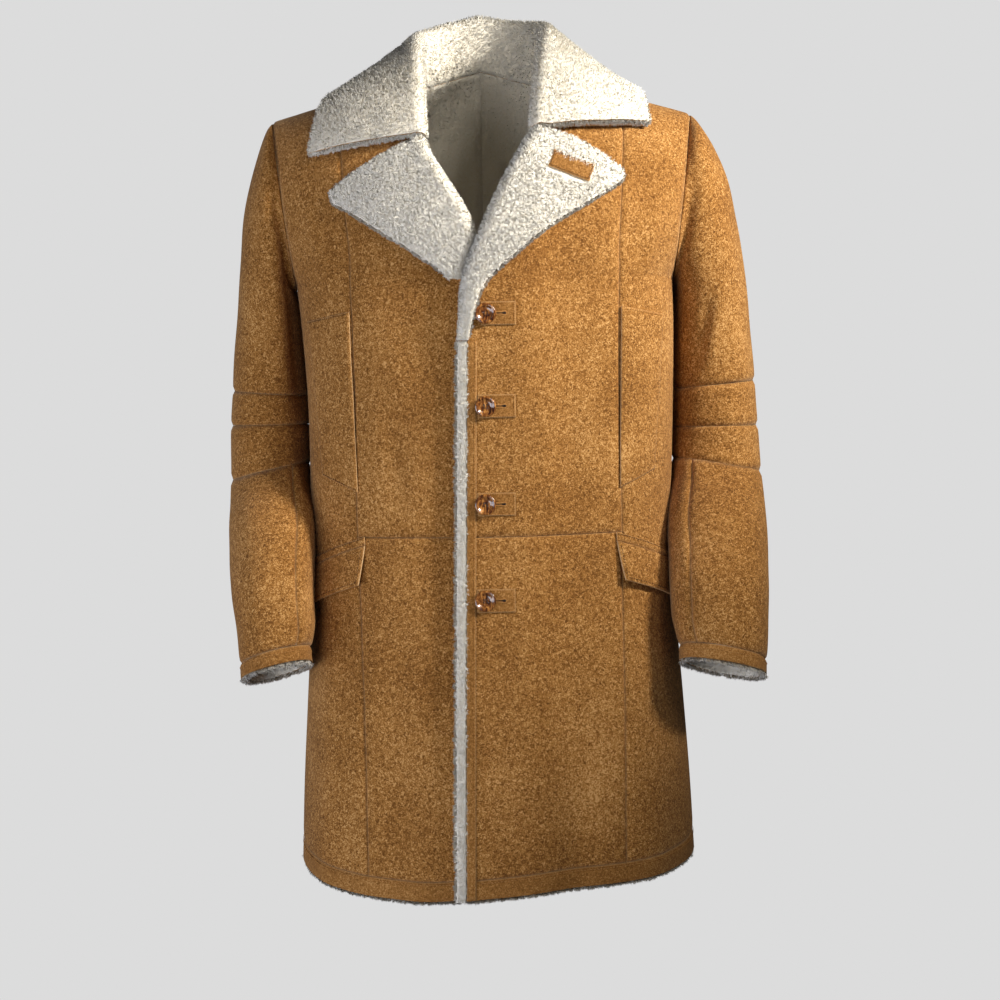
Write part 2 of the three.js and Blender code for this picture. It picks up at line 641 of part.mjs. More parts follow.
function backPanelGrid(side) {
  const grid = backGrid(WHOLE, side);
  const end = NECK_COLUMNS + BACK_COLUMNS;
  const first = grid.length - UPPER.length;
  for (let k = 0; k < UPPER.length; k++) grid[first + k][end] = rimCell(side, -k);
  const made = trim(grid, { end: false });
  for (let k = 0; k <= first; k++) draw(made[k][end], grid[k][end - 1], HALF_SEAM);
  return made;
}
const back = (side) => wall(nameOf("back", side), suede, BACK_ROWS[side]);

// The stitched band along the hem, from the closing edge round to the middle of the back.
function hemBand(side) {
  const parts = [
    frontGrid(HEM, side, innerTurn, princessTurn, FRONT_COLUMNS),
    frontGrid(HEM, side, princessTurn, sideTurn, SIDE_COLUMNS),
    backGrid(HEM, side).map((row) => row.reverse()),
  ];
  const grid = HEM.map((_, i) => parts.flatMap((part, n) => (n ? part[i].slice(1) : part[i])));
  return wall(nameOf("hem_band", side), smoothSuede, trim(grid, { first: false }));
}

// A point of the body by distance from the middle and by place across the shoulder.
function acrossSkin(x, across) {
  const row = { up: 1 - Math.abs(across) };
  const turn = turnOf(x, row);
  return skin(row, across < 0 ? turn : Math.sign(x || 1) * Math.PI - turn);
}

// The bend of a lapel or of the collar's front end: unit directions from the bend's centre line.
const turned = (from, to, t) => from.clone().multiplyScalar(Math.cos(t)).addScaledVector(to, Math.sin(t));

// A lapel: its wall comes out of the front's edge, bends round and lies on the front, fleece upwards.
const BEND_STEPS = 5;
const LAPEL_COLUMNS = 8;
const LAPEL_ROWS = 20;
function lapelGrid(side) {
  const { rows, bow } = lapelOf(side);
  const layer = layerOf(side);
  return Array.from({ length: LAPEL_ROWS + 1 }, (_, i) => {
    const s = i / LAPEL_ROWS;
    const bendZ = tableAt(rows, "s", "bendZ", s);
    const bendX = side * (tableAt(side > 0 ? LEFT_BOUNDARY : RIGHT_BEND, "z", "x", bendZ) - ROLL_GAP);
    const edgeX = side * tableAt(rows, "s", "edgeX", s);
    const edgeZ = tableAt(rows, "s", "edgeZ", s);
    const hook = side > 0 ? 1 : smooth(RIGHT_HOOK_LOW_Z, RIGHT_HOOK_HIGH_Z, bendZ);
    const root = frontSkin(bendX, bendZ, layer);
    const towards = frontSkin(mix(bendX, edgeX, 0.2), mix(bendZ, edgeZ, 0.2), layer).point.sub(root.point);
    const aside = towards.addScaledVector(root.out, -towards.dot(root.out)).normalize();
    const centre = root.point.clone().addScaledVector(root.out, ROLL_INNER_RADIUS);
    const cells = [];
    for (let k = 0; k < BEND_STEPS; k++) {
      const angle = mix(-hook, 1, k / BEND_STEPS) * (Math.PI / 2);
      const way = turned(aside.clone().negate(), root.out, angle);
      cells.push({
        outer: centre.clone().addScaledVector(way, ROLL_OUTER_RADIUS),
        inner: centre.clone().addScaledVector(way, ROLL_INNER_RADIUS),
      });
    }
    for (let k = 0; k <= LAPEL_COLUMNS; k++) {
      const t = k / LAPEL_COLUMNS;
      const lift = bow * s ** 6 * 4 * t * (1 - t);
      const place = frontSkin(mix(bendX, edgeX, t), mix(bendZ, edgeZ, t) + lift, layer);
      const under = mix(2 * ROLL_INNER_RADIUS, 1.5, t);
      const puff = 1.4 * Math.sin(Math.PI * t) - 1.6 * t ** 6;
      cells.push(cellAt(place, ROLL_OUTER_RADIUS + ROLL_INNER_RADIUS + puff, under));
    }
    return cells;
  });
}
const lapel = (side) => wall(nameOf("lapel", side), fleece, lapelGrid(side));

// The neck seam of one side as the collar meets it: from the middle of the back to the lapel.
function neckCells(side) {
  const top = BACK_ROWS[side][BACK_ROWS[side].length - 1];
  const cells = [];
  for (let j = 0; j <= NECK_COLUMNS; j++) {
    const x = NECK_X * Math.sin((Math.PI * j) / (2 * NECK_COLUMNS));
    cells.push({ cell: copyOf(top[j]), x, across: 1 - neckUp(x), along: (SHOULDER_ALONG * j) / NECK_COLUMNS });
  }
  const { rows, gorgeRow } = FRONT[side];
  const grid = FRONT_UPPER_GRID[side];
  const list = [];
  for (let i = rows.length - 1; i >= rows.indexOf(gorgeRow); i--) list.push(i);
  list.forEach((i, n) => {
    if (n === 0) return;
    cells.push({
      cell: copyOf(grid[i][0]),
      x: Math.abs(plainSkin(rows[i], innerTurn(rows[i], side)).x),
      across: rows[i].up - 1,
      along: mix(SHOULDER_ALONG, 1, n / (list.length - 1)),
    });
  });
  return cells;
}

// One half of the collar as rows of cells, from the neck seam over the fold to the free edge.
const STAND_STEPS = 3;
const FOLD_STEPS = 6;
const FALL_STEPS = 6;
const NECK_GAP = 0.7;
function halfCollar(side) {
  const table = side > 0 ? LEFT_COLLAR : RIGHT_COLLAR;
  const seam = neckCells(side);
  const halves = seam.flatMap((item, i) => {
    if (i === seam.length - 1) return [item];
    const next = seam[i + 1];
    return [
      item,
      {
        cell: between(item.cell, next.cell, 0.5),
        x: (item.x + next.x) / 2,
        across: (item.across + next.across) / 2,
        along: (item.along + next.along) / 2,
      },
    ];
  });
  return halves.map(({ cell, x, across, along }) => {
    const read = (name) => tableAt(table, "along", name, along);
    const offset = vec(side * read("foldX"), read("foldY"), read("foldZ"));
    const fold = cell.outer.clone().add(offset);
    const out = cell.outer.clone().sub(cell.inner).normalize();
    const standing = 1 - smooth(0.7, 1, along);
    const inward = vec(-cell.outer.x, -cell.outer.y * (along < SHOULDER_ALONG ? 1 : 0.2), 0).normalize();
    const first = out.clone().negate().lerp(inward, standing).normalize();
    const edgeX = side * read("edgeX");
    const edgeAcross = read("edgeAcross");
    const fallAt = (t) => {
      const place = acrossSkin(mix(side * x, edgeX, t), mix(across, edgeAcross, t));
      place.point.addScaledVector(offset, (1 - t) ** 1.1).addScaledVector(place.out, COLLAR_LIFT * t);
      return place;
    };
    const fall = fallAt(0.25).point.sub(fold).normalize();
    const top = acrossSkin(edgeX, edgeAcross).out;
    const last = top.clone().addScaledVector(fall, -top.dot(fall)).normalize();
    const middle = fall.clone().negate().add(vec(0, 0, 0.8 * standing)).normalize();
    const radii = (way, low, high) => ({
      outer: fold.clone().addScaledVector(way, high),
      inner: fold.clone().addScaledVector(way, low),
    });
    const high = ROLL_INNER_RADIUS + COLLAR_THICK;
    const bend = Array.from({ length: FOLD_STEPS + 1 }, (_, k) => {
      const t = (2 * k) / FOLD_STEPS;
      const way = t < 1 ? first.clone().lerp(middle, t) : middle.clone().lerp(last, t - 1);
      return radii(way.normalize(), ROLL_INNER_RADIUS, high);
    });
    const seat = { outer: cell.inner.clone(), inner: cell.outer.clone() };
    draw(seat, bend[0], NECK_GAP);
    const rows = [];
    for (let k = 0; k < STAND_STEPS; k++) rows.push(between(seat, bend[0], k / STAND_STEPS));
    rows.push(...bend);
    for (let k = 1; k <= FALL_STEPS; k++) {
      const t = k / FALL_STEPS;
      const place = fallAt(t);
      const way = last.clone().lerp(place.out, t).normalize();
      const puff = 1.2 * Math.sin(Math.PI * t) - 1.6 * t ** 6;
      rows.push({
        outer: place.point.clone().addScaledVector(way, high + puff),
        inner: place.point.clone().addScaledVector(way, ROLL_INNER_RADIUS * (1 - t)),
      });
    }
    return rows;
  });
}
function collar() {
  const left = halfCollar(1);
  const right = halfCollar(-1);
  return wall("collar", fleece, [...right.slice(1).reverse(), ...left]);
}

// A ring of a sleeve. Its points start at the body side, go by the front to the outside and come back
// behind. The right sleeve is made as a left one and mirrored.
const AROUND = 2 * UPPER_ROWS;
function sleeveRing(n, side) {
  const row = SLEEVE[n];
  const own = side > 0 ? LEFT_SLEEVE : RIGHT_SLEEVE;
  const low = smooth(BAND_TOP_SECTION, CUFF_SEAM_SECTION - 1, n);
  const lift = own.lift * low + (n === BAND_MIDDLE_SECTION ? own.bandLift : 0);
  const inX = own.inX[n];
  const outX = own.outX[n];
  const deep = row.half + own.deepen * low;
  const middle = vec((inX + outX) / 2, row.y, (row.inZ + row.outZ) / 2 + lift);
  const half = vec((outX - inX) / 2, 0, (row.outZ - row.inZ) / 2);
  const fore = vec(0, -deep, row.rise);
  const pointAt = (angle, inset) => {
    const wide = (half.length() - inset) / half.length();
    const fill = (deep - inset) / deep;
    const point = middle
      .clone()
      .addScaledVector(half, -wide * signedPower(Math.cos(angle), 2 / SLEEVE_POWER))
      .addScaledVector(fore, fill * signedPower(Math.sin(angle), 2 / SLEEVE_POWER));
    point.x *= side;
    return point;
  };
  return Array.from({ length: AROUND }, (_, k) => {
    const angle = (2 * Math.PI * k) / AROUND;
    return { outer: pointAt(angle, 0), inner: pointAt(angle, SLEEVE_HIDE) };
  });
}
const ringRows = (from, to, side) => {
  const rows = [];
  for (let n = from; n <= to; n++) rows.push(sleeveRing(n, side));
  return rows;
};
function sleeveUpper(side) {
  const rim = RIMS[side].map(copyOf);
  for (const cell of rim)
    for (const face of ["outer", "inner"]) cell[face].add(vec(side * SEAM, 0, 0));
  const grid = [rim, ...ringRows(0, BAND_TOP_SECTION, side)];
  return wall(nameOf("sleeve_upper", side), suede, trim(grid, { first: false, start: false, end: false }), true);
}
function sleeveTube(stem, material, from, to, side, ends) {
  const grid = trim(ringRows(from, to, side), { ...ends, start: false, end: false });
  return wall(nameOf(stem, side), material, grid, true);
}
const SEAM_STEPS = 3; // from the body side to each of the forearm's two seams
function forearm(stem, side, from, to) {
  const grid = ringRows(BAND_BOTTOM_SECTION, CUFF_SEAM_SECTION, side).map((ring) =>
    Array.from({ length: to - from + 1 }, (_, k) => ring[(from + k + AROUND) % AROUND]),
  );
  return wall(nameOf(stem, side), suede, trim(grid, {}));
}

// A flat piece that lies on the front: a grid of places, each moved out by its seat and its thickness.
function laid(name, material, columns, rows, placeAt, thick) {
  const grid = Array.from({ length: rows + 1 }, (_, i) =>
    Array.from({ length: columns + 1 }, (_, j) => {
      const place = placeAt(j / columns, i / rows);
      return cellAt(place, place.seat + thick, place.seat);
    }),
  );
  return wall(name, material, grid);
}
const onFront = (x, z, layer, seat = SEAT) => ({ ...frontSkin(x, z, layer), seat });
function onSide(turn, z, side, seat) {
  return { ...skin({ z }, side * turn, layerOf(side)), seat };
}

function chestPocket(side) {
  const [a, b, c, d] = CHEST_POCKET;
  const place = (u, v) => {
    const x = mix(mix(a.x, b.x, u), mix(d.x, c.x, u), v);
    const z = mix(mix(a.z, b.z, u), mix(d.z, c.z, u), v);
    return onFront(side * x, z, layerOf(side));
  };
  return laid(nameOf("chest_pocket", side), suede, 4, 8, place, CHEST_POCKET_THICK);
}
const flapTop = (u) => mix(FLAP.firstZ, FLAP.lastZ, u);
function flap(side) {
  const place = (u, v) => {
    const turn = mix(FLAP.firstTurn, FLAP.lastTurn, u) + 0.03 * v * (1 - u);
    return onSide(turn, flapTop(u) - FLAP.deep * v, side, SEAT + FLAP.stand * (1 - 0.6 * u) * v ** 1.5);
  };
  return laid(nameOf("pocket_flap", side), suede, 10, 4, place, FLAP.thick);
}
function welt(side) {
  const place = (u, v) => {
    const turn = mix(FLAP.firstTurn, FLAP.lastTurn, u);
    return onSide(turn, flapTop(u) + 0.6 + WELT.wide * (1 - v), side, SEAT);
  };
  return laid(nameOf("flap_welt", side), suede, 10, 1, place, WELT.thick);
}

const buttonX = (z) => BUTTON_X + BUTTON_LEAN * (z - BUTTON_MIDDLE_Z);
function patch(z, n) {
  const bandX = tableAt(LEFT_BOUNDARY, "z", "x", z + PATCH.high / 2) + EDGE_BAND.wide + 1.2;
  const left = Math.max(buttonX(z) + PATCH.left, bandX);
  const right = buttonX(z) + PATCH.left + PATCH.wide;
  const place = (u, v) => onFront(mix(left, right, u), z + PATCH.high * (v - 0.5), "over");
  return laid(`buttonhole_patch_${n + 1}`, smoothSuede, 4, 3, place, PATCH.thick);
}

// Buttons: a turned disc with a raised rim, dished in the middle, and four holes.
const BUTTON_PROFILE = [
  [0, 0],
  [8.6, 0],
  [10.8, 0.9],
  [BUTTON_RADIUS, 2.3],
  [11.1, 3.9],
  [9.9, 4.7],
  [8.6, 4.4],
  [7.2, 3.0],
  [5.4, 2.5],
  [0, 2.5],
];
const manifoldOf = (geometry) => {
  const merged = mergeVertices(geometry.deleteAttribute("normal").deleteAttribute("uv"), 1e-4);
  return new wasm.Manifold(
    new wasm.Mesh({
      numProp: 3,
      vertProperties: merged.attributes.position.array,
      triVerts: new Uint32Array(merged.index.array),
    }),
  );
};
function button(z, n) {
  const profile = BUTTON_PROFILE.map(([r, h]) => new THREE.Vector2(r, h));
  let disc = manifoldOf(new THREE.LatheGeometry(profile, 24));
  for (let k = 0; k < 4; k++) {
    const angle = (Math.PI / 2) * (k + 0.5);
    const hole = new THREE.CylinderGeometry(BUTTON_HOLE_RADIUS, BUTTON_HOLE_RADIUS, 10, 8);
    hole.translate(BUTTON_HOLE_SPREAD * Math.cos(angle), 1, BUTTON_HOLE_SPREAD * Math.sin(angle));
    disc = disc.subtract(manifoldOf(hole));
  }
  const made = disc.getMesh();
  const geometry = new THREE.BufferGeometry();
  const positions = [...made.vertProperties];
  const { point, out } = frontSkin(buttonX(z), z, "over");
  const seat = SEAT + PATCH.thick + SEAM;
  const turn = new THREE.Quaternion().setFromUnitVectors(vec(0, 1, 0), out);
  geometry.setAttribute("position", new THREE.Float32BufferAttribute(positions, 3));
  geometry.setIndex([...made.triVerts]);
  geometry.applyQuaternion(turn);
  geometry.translate(...point.addScaledVector(out, seat).toArray());
  geometry.computeVertexNormals();
  const mesh = new THREE.Mesh(geometry, horn);
  mesh.name = `button_${n + 1}`;
  return mesh;
}

// A blank leather tab sewn on the left lapel.
function label() {
  const seat = ROLL_OUTER_RADIUS + ROLL_INNER_RADIUS + 1.4 + SEAT;
  const place = (u, v) => {
    const a = (u - 0.5) * LABEL.wide;
    const b = (v - 0.5) * LABEL.high;
    const x = LABEL.x + a * Math.cos(LABEL.turn) - b * Math.sin(LABEL.turn);
    const z = LABEL.z + a * Math.sin(LABEL.turn) + b * Math.cos(LABEL.turn);
    return onFront(x, z, "over", seat);
  };
  return laid("lapel_tab", smoothSuede, 4, 2, place, LABEL.thick);
}

// The stitched band of hide along the closing edge, and the wool that stands out past it.
const CLOSING_TOP_Z = -303;
const CLOSING_ROWS = [
  { hem: 0 },
  ...SKIRT,
  ...CHEST.filter((row) => row.z > WAIST_Z && row.z < CLOSING_TOP_Z - HEM_BAND),
  { z: CLOSING_TOP_Z },
];
function edgeBand() {
  const grid = CLOSING_ROWS.map((row) =>
    Array.from({ length: 3 }, (_, j) => {
      const x = crossing(LEFT_BOUNDARY, row, 1) + 0.4 + (EDGE_BAND.wide * j) / 2;
      return cellAt(skin(row, turnOf(x, row), "over"), SEAT + EDGE_BAND.thick, SEAT);
    }),
  );
  return wall("front_edge_band", smoothSuede, grid);
}
function edgeFleece() {
  const section = [
    { u: -PILE_STRIP, outer: -3, inner: -5.6 },
    { u: -0.75 * PILE_STRIP, outer: -1.2, inner: -7 },
    { u: -0.35 * PILE_STRIP, outer: -0.6, inner: -7.6 },
    { u: -0.4, outer: -0.8, inner: -7.8 },
  ];
  const grid = CLOSING_ROWS.map((row) =>
    section.map(({ u, outer, inner }) => {
      const x = crossing(LEFT_BOUNDARY, row, 1) + u;
      return cellAt(skin(row, turnOf(x, row), "over"), outer, inner);
    }),
  );
  return wall("front_edge_fleece", fleece, grid);
}

const coat = new THREE.Group();
coat.name = "shearling_coat";
for (const side of [1, -1]) {
  coat.add(frontUpper(side), frontSkirt(side), sideFront(side), back(side), hemBand(side));
  coat.add(lapel(side), chestPocket(side), flap(side), welt(side), sleeveUpper(side));
  coat.add(sleeveTube("elbow_band_upper", suede, BAND_TOP_SECTION, BAND_MIDDLE_SECTION, side, {}));
  coat.add(sleeveTube("elbow_band_lower", suede, BAND_MIDDLE_SECTION, BAND_BOTTOM_SECTION, side, {}));
  coat.add(forearm("forearm_top", side, SEAM_STEPS, AROUND - SEAM_STEPS));
  coat.add(forearm("forearm_under", side, -SEAM_STEPS, SEAM_STEPS));
  coat.add(sleeveTube("cuff_band", smoothSuede, CUFF_SEAM_SECTION, CUFF_END_SECTION, side, { last: false }));
}
coat.add(collar(), edgeBand(), edgeFleece(), label());
BUTTON_Z.forEach((z, n) => coat.add(patch(z, n), button(z, n)));

export default coat;
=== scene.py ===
"""A man's shearling coat in Blender: golden suede outside, cream sheared wool inside, empty and open.

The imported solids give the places. Every panel is worked out again from the same named sizes on a finer
grid, with rolled seams, soft creases, raw edges, stitches and the wool itself as fine blades.
Sizes here are in millimetres and go into the meshes in metres. +X is the wearer's left and -Y the front.
"""

import math

import bpy
import numpy as np
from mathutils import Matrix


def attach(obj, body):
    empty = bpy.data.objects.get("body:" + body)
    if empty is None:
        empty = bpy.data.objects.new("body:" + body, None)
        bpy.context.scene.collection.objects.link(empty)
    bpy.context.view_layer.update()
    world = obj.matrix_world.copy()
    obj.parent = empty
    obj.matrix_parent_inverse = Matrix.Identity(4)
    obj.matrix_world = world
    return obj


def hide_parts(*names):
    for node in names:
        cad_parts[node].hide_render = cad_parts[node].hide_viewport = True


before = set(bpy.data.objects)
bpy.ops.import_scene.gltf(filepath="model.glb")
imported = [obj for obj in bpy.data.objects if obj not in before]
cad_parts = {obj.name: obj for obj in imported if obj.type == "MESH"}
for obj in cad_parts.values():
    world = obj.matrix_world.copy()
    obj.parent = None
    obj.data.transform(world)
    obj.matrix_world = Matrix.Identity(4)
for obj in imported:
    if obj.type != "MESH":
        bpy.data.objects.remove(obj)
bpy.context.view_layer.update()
MM = 0.001

# Camera
# A 72 mm lens, 2.3 m in front of the shoulders and at the height of the chest pockets. The shift puts the
# coat where the photograph has it, and the small roll is the lean of the whole figure.
camera_data = bpy.data.cameras.new("photo_camera")
camera_data.lens = 72
camera_data.sensor_width = 36
camera_data.shift_x = 0.014
camera_data.shift_y = -0.15
camera = bpy.data.objects.new("photo_camera", camera_data)
camera.location = (0, -2.3, -0.313)
camera.rotation_euler = (math.pi / 2, 0.021, 0)
bpy.context.scene.collection.objects.link(camera)
bpy.context.scene.camera = camera

# Sizes shared with the solids
HIDE = 8
HALF_SEAM = 0.15
SEAT = 0.8
UNDERARM_Z = -235
WAIST_Z = -515
HEM_SIDE_Z = -880
HEM_DROP_RIGHT = 21
HEM_DROP_LEFT = 9
HEM_BACK_DROP = 8
HEM_BAND = 20
NECK_X = 78
NECK_Z = -2
NECK_RISE = 30
SHOULDER_X = 240
SHOULDER_SLOPE = 0.267
SHOULDER_SEAM_Y = 8
NECK_BACK_DEPTH = 62
PLAN_POWER = 2.4
DOME_POWER = 2.3
SHOULDER_WIDENING = 31
WIDENING_POWER = 6.5
CHEST_HALF_WIDTH = 215

# Height, half width on the left and on the right, depth in front and depth behind of the body.
SECTIONS = np.array(
    [
        [-235, 215, 215, 143, 128], [-285, 215, 210, 145, 125], [-360, 213, 205, 144, 119],
        [-440, 210, 204, 141, 115], [-515, 207, 205, 141, 117], [-600, 210, 205.5, 147, 128],
        [-700, 216.5, 211.5, 156, 140], [-800, 222.5, 217.5, 166, 150], [-905, 226.5, 221.5, 176, 158],
    ],
    float,
)
# Height and distance from the middle of the seams and edges.
PRINCESS = np.array([[-905, 140], [-700, 142], [-515, 146], [-285, 147], [-100, 156], [0, 163]], float)
LEFT_BOUNDARY = np.array(
    [
        [-905, -32.5], [-690, -28.5], [-525, -25], [-300, -19.5], [-275, -17], [-262, -16.2],
        [-228, -9.7], [-197, 2.6], [-177, 11.7], [-151, 23.8], [-122, 38.8], [-91, 56.7], [-74, 67],
        [-2, 78],
    ],
    float,
)
RIGHT_BOUNDARY = np.array(
    [
        [-905, -15.5], [-690, -19.5], [-525, -23], [-300, -28.5], [-275, -26], [-262, -18], [-230, 2],
        [-205, 14], [-182, 22], [-158, 33], [-132, 49], [-105, 65], [-92, 70.4], [-81, 74], [-2, 78],
    ],
    float,
)
RIGHT_BEND = np.vstack([[[-238, 32.5], [-219, 27.3], [-200, 21.5]], RIGHT_BOUNDARY[8:]])
LAP_LIFT = HIDE + 1.6
EDGE_BAND = 10
CLOSING_TOP_Z = -303
ROLL_OUTER = 9.3
ROLL_INNER = 1.3
ROLL_GAP = 1
GORGE_Z = {1: -74, -1: -81}
LAPEL_BOW = {1: 6, -1: 3}
# Share of the lapel's length, height of the bend, then the free edge's distance from the middle and height.
LAPEL = {
    1: np.array(
        [
            [0, -302, -18.6, -302], [0.08, -281, -14.2, -281], [0.16, -259, -8.6, -260],
            [0.24, -241, -2.5, -246], [0.34, -216, 10, -229], [0.44, -191, 27.5, -214],
            [0.56, -167, 51, -194], [0.66, -145, 75, -177], [0.78, -118, 103.5, -160],
            [0.89, -94, 131, -144], [0.965, -81, 149, -132], [1, -77, 151, -123],
        ],
        float,
    ),
    -1: np.array(
        [
            [0, -236, 37, -236], [0.12, -219, 49, -224], [0.25, -200, 67, -211],
            [0.38, -181, 86, -197.5], [0.52, -156.5, 108, -183.5], [0.66, -132, 128, -170],
            [0.8, -108, 146, -158], [0.92, -94, 160, -150], [1, -86, 164, -139],
        ],
        float,
    ),
}
# Share of the half collar, the fold's offset from the neck seam, then the free edge's distance and place.
COLLAR = {
    1: np.array(
        [
            [0, 0, 14, 52, 0, 0.55], [0.12, -1, 15, 54, 38, 0.51], [0.25, -1, 16, 58, 75, 0.42],
            [0.45, 1, 17, 59, 130, 0.3], [0.62, 2, 20, 49, 162, 0.1], [0.8, -1.5, 16, 28, 179, -0.13],
            [1, -2.5, -1, 2.5, 183, -0.42],
        ],
        float,
    ),
    -1: np.array(
        [
            [0, 0, 14, 52, 0, 0.55], [0.12, -1, 15, 54, 37, 0.51], [0.25, -1, 16, 54, 70, 0.42],
            [0.45, -1, 17, 50, 120, 0.3], [0.62, -2, 19, 39, 151, 0.1], [0.8, -2, 13, 20, 174, -0.18],
            [1, -2.5, -1, 2.5, 187, -0.55],
        ],
        float,
    ),
}
SHOULDER_ALONG = 0.55
COLLAR_LIFT = 1.6
COLLAR_THICK = 9.5
# Sleeve sections from the shoulder down: heights of both ends, depth of the middle, half depth and rise.
SLEEVE = np.array(
    [
        [-240, -58, 4, 62, 0], [-243, -84, 5, 67, 0], [-247, -118, 8, 69, 0], [-254, -160, 13, 70, 0],
        [-268, -206, 19, 69, 0], [-294, -256, 25, 67, 0], [-328, -306, 29, 65, 0],
        [-361, -354, 29, 63, 0], [-400, -400, 24, 61, 2], [-441, -459, 12, 59, 6],
        [-500, -520, -34, 57, 12], [-558, -580, -73, 55, 15], [-598, -622, -90, 52, 15],
        [-640, -659, -98, 50, 14], [-656, -675, -101, 49.5, 14],
    ],
    float,
)
# For each sleeve, the distances of its sections' two ends from the middle of the coat.
SLEEVE_IN = {
    1: [217, 218, 218, 218, 217, 216, 215, 214, 213, 212, 208, 206, 206, 206, 206],
    -1: [217, 218, 217, 215, 213, 211, 208.5, 206.5, 206, 205.5, 203, 203.5, 203, 200, 198],
}
SLEEVE_OUT = {
    1: [250, 266, 280, 290, 298, 304, 308, 311, 313, 315, 313, 309, 305, 302, 301],
    -1: [247, 257, 267, 276, 281, 286, 291, 295, 297, 297, 294, 288, 281, 277, 276],
}
CLOSER = 7.5
# Deeper at the cuff, up at the cuff, and up at the seam between the elbow bands.
SLEEVE_OWN = {1: (0, -1.5, -6), -1: (6, 5, 5)}
BAND_TOP, BAND_MIDDLE, BAND_BOTTOM, CUFF_SEAM, CUFF_END = 7, 8, 9, 13, 14
SLEEVE_POWER = 2.2
SLEEVE_HIDE = 7
CHEST_POCKET = ((148, -268), (197, -277), (183, -448), (143, -466))
CHEST_POCKET_THICK = 2.4
FLAP_TURNS = (0.66, 1.47)
FLAP_TOP = (-524, -562)
FLAP_DEEP, FLAP_THICK, FLAP_STAND = 43, 3.4, 6.5
WELT_WIDE, WELT_THICK = 9, 2.2
BUTTON_Z = (-274, -373, -479, -583)
PATCH_WIDE, PATCH_HIGH, PATCH_THICK, PATCH_LEFT = 46, 25, 1.1, -14
LABEL_X, LABEL_Z, LABEL_WIDE, LABEL_HIGH, LABEL_THICK, LABEL_TURN = 94, -118.5, 47, 19, 1.6, -0.37

# Folds of the body as lines seen from the front or back: ends, width and depth (out is positive).
FRONT_FOLDS = np.array(
    [
        [186, -120, 160, -205, 20, -4], [-190, -130, -150, -215, 20, -3.5],
        [84, -640, 92, -890, 26, -5], [150, -640, 168, -890, 30, 5], [-100, -660, -110, -890, 32, -5],
        [-190, -640, -195, -890, 26, 4], [196, -150, 178, -232, 7, 1.8],
        [-196, -150, -172, -236, 7, 1.8], [120, -262, 96, -330, 16, -1.6],
        [-96, -262, -70, -330, 18, -1.4], [60, -380, 70, -500, 14, 1.1],
        [-112, -350, -96, -480, 12, -1.2], [30, -600, 34, -800, 20, 1.6],
        [-55, -560, -58, -720, 15, -1.3], [-150, -560, -158, -690, 12, -1.5],
        [112, -548, 120, -640, 12, -1.4],
    ],
    float,
)
BACK_FOLDS = np.array(
    [
        [90, -560, 105, -890, 34, -7], [-80, -580, -100, -890, 34, -6], [0, -150, 4, -330, 36, -4],
        [150, -130, 120, -260, 26, -4], [-150, -130, -122, -260, 26, -4],
        [60, -430, 20, -500, 14, -1.8], [-70, -420, -24, -492, 14, -1.8],
        [40, -470, -30, -512, 9, 1.3],
    ],
    float,
)
# Creases of the sleeves, seen from the front: ends, width and depth.
SLEEVE_FOLDS = {
    1: np.array(
        [
            [254, -268, 240, -330, 7, -4.5], [264, -250, 254, -322, 8, 2.4],
            [236, -300, 226, -352, 8, -3], [240, -470, 300, -430, 12, -1.6],
            [222, -520, 262, -560, 12, -1.8], [284, -360, 300, -420, 10, -1.2],
        ],
        float,
    ),
    -1: np.array(
        [
            [-222, -180, -212, -350, 9, -6], [-240, -160, -230, -330, 11, 2.6],
            [-262, -230, -252, -330, 10, -1.6], [-236, -500, -286, -450, 12, -1.6],
            [-220, -540, -250, -600, 12, -1.8],
        ],
        float,
    ),
}


# The coat's form
def mix(a, b, t):
    """A straight blend from a to b."""
    return a + (b - a) * t


def smooth(low, high, value):
    """0 below low, 1 above high and 3t^2 - 2t^3 between them."""
    t = np.clip((value - low) / (high - low), 0, 1)
    return t * t * (3 - 2 * t)


def signed_power(value, power):
    """The power of the size, with the sign kept."""
    return np.sign(value) * np.abs(value) ** power


def unit(v):
    """Vectors of length 1."""
    return v / np.maximum(np.linalg.norm(v, axis=-1, keepdims=True), 1e-9)


def curve(a, slope_a, b, slope_b, t):
    """A cubic from a to b with a slope at each end."""
    return (
        a * (2 * t**3 - 3 * t**2 + 1)
        + slope_a * (t**3 - 2 * t**2 + t)
        + b * (3 * t**2 - 2 * t**3)
        + slope_b * (t**3 - t**2)
    )


def table_at(table, column, value):
    """A column at a value of the first one, on a cubic through the rows with mean slopes at each."""
    rows = table[np.argsort(table[:, 0])]
    key, wanted = rows[:, 0], rows[:, column]
    value = np.clip(value, key[0], key[-1])
    i = np.clip(np.searchsorted(key, value, side="left") - 1, 0, len(key) - 2)
    low, high = np.maximum(i - 1, 0), np.minimum(i + 2, len(key) - 1)
    slope_low = (wanted[i + 1] - wanted[low]) / (key[i + 1] - key[low])
    slope_high = (wanted[high] - wanted[i]) / (key[high] - key[i])
    span = key[i + 1] - key[i]
    return curve(wanted[i], slope_low * span, wanted[i + 1], slope_high * span, (value - key[i]) / span)


def shoulder_z(x):
    """The shoulder line: a straight slope from the neck, and a rise over the back of the neck."""
    across = np.minimum(1, np.abs(x) / NECK_X)
    return NECK_Z - SHOULDER_SLOPE * (np.abs(x) - NECK_X) + NECK_RISE * (1 - across**2) ** 1.5


def hem_z(turn):
    """The hem's height round the body: lower in front, and lowest on the wearer's right."""
    forward = np.cos(turn)
    drop = mix(HEM_DROP_RIGHT, HEM_DROP_LEFT, smooth(-0.35, 0.3, turn))
    return HEM_SIDE_Z - np.where(forward > 0, drop, -HEM_BACK_DROP) * forward


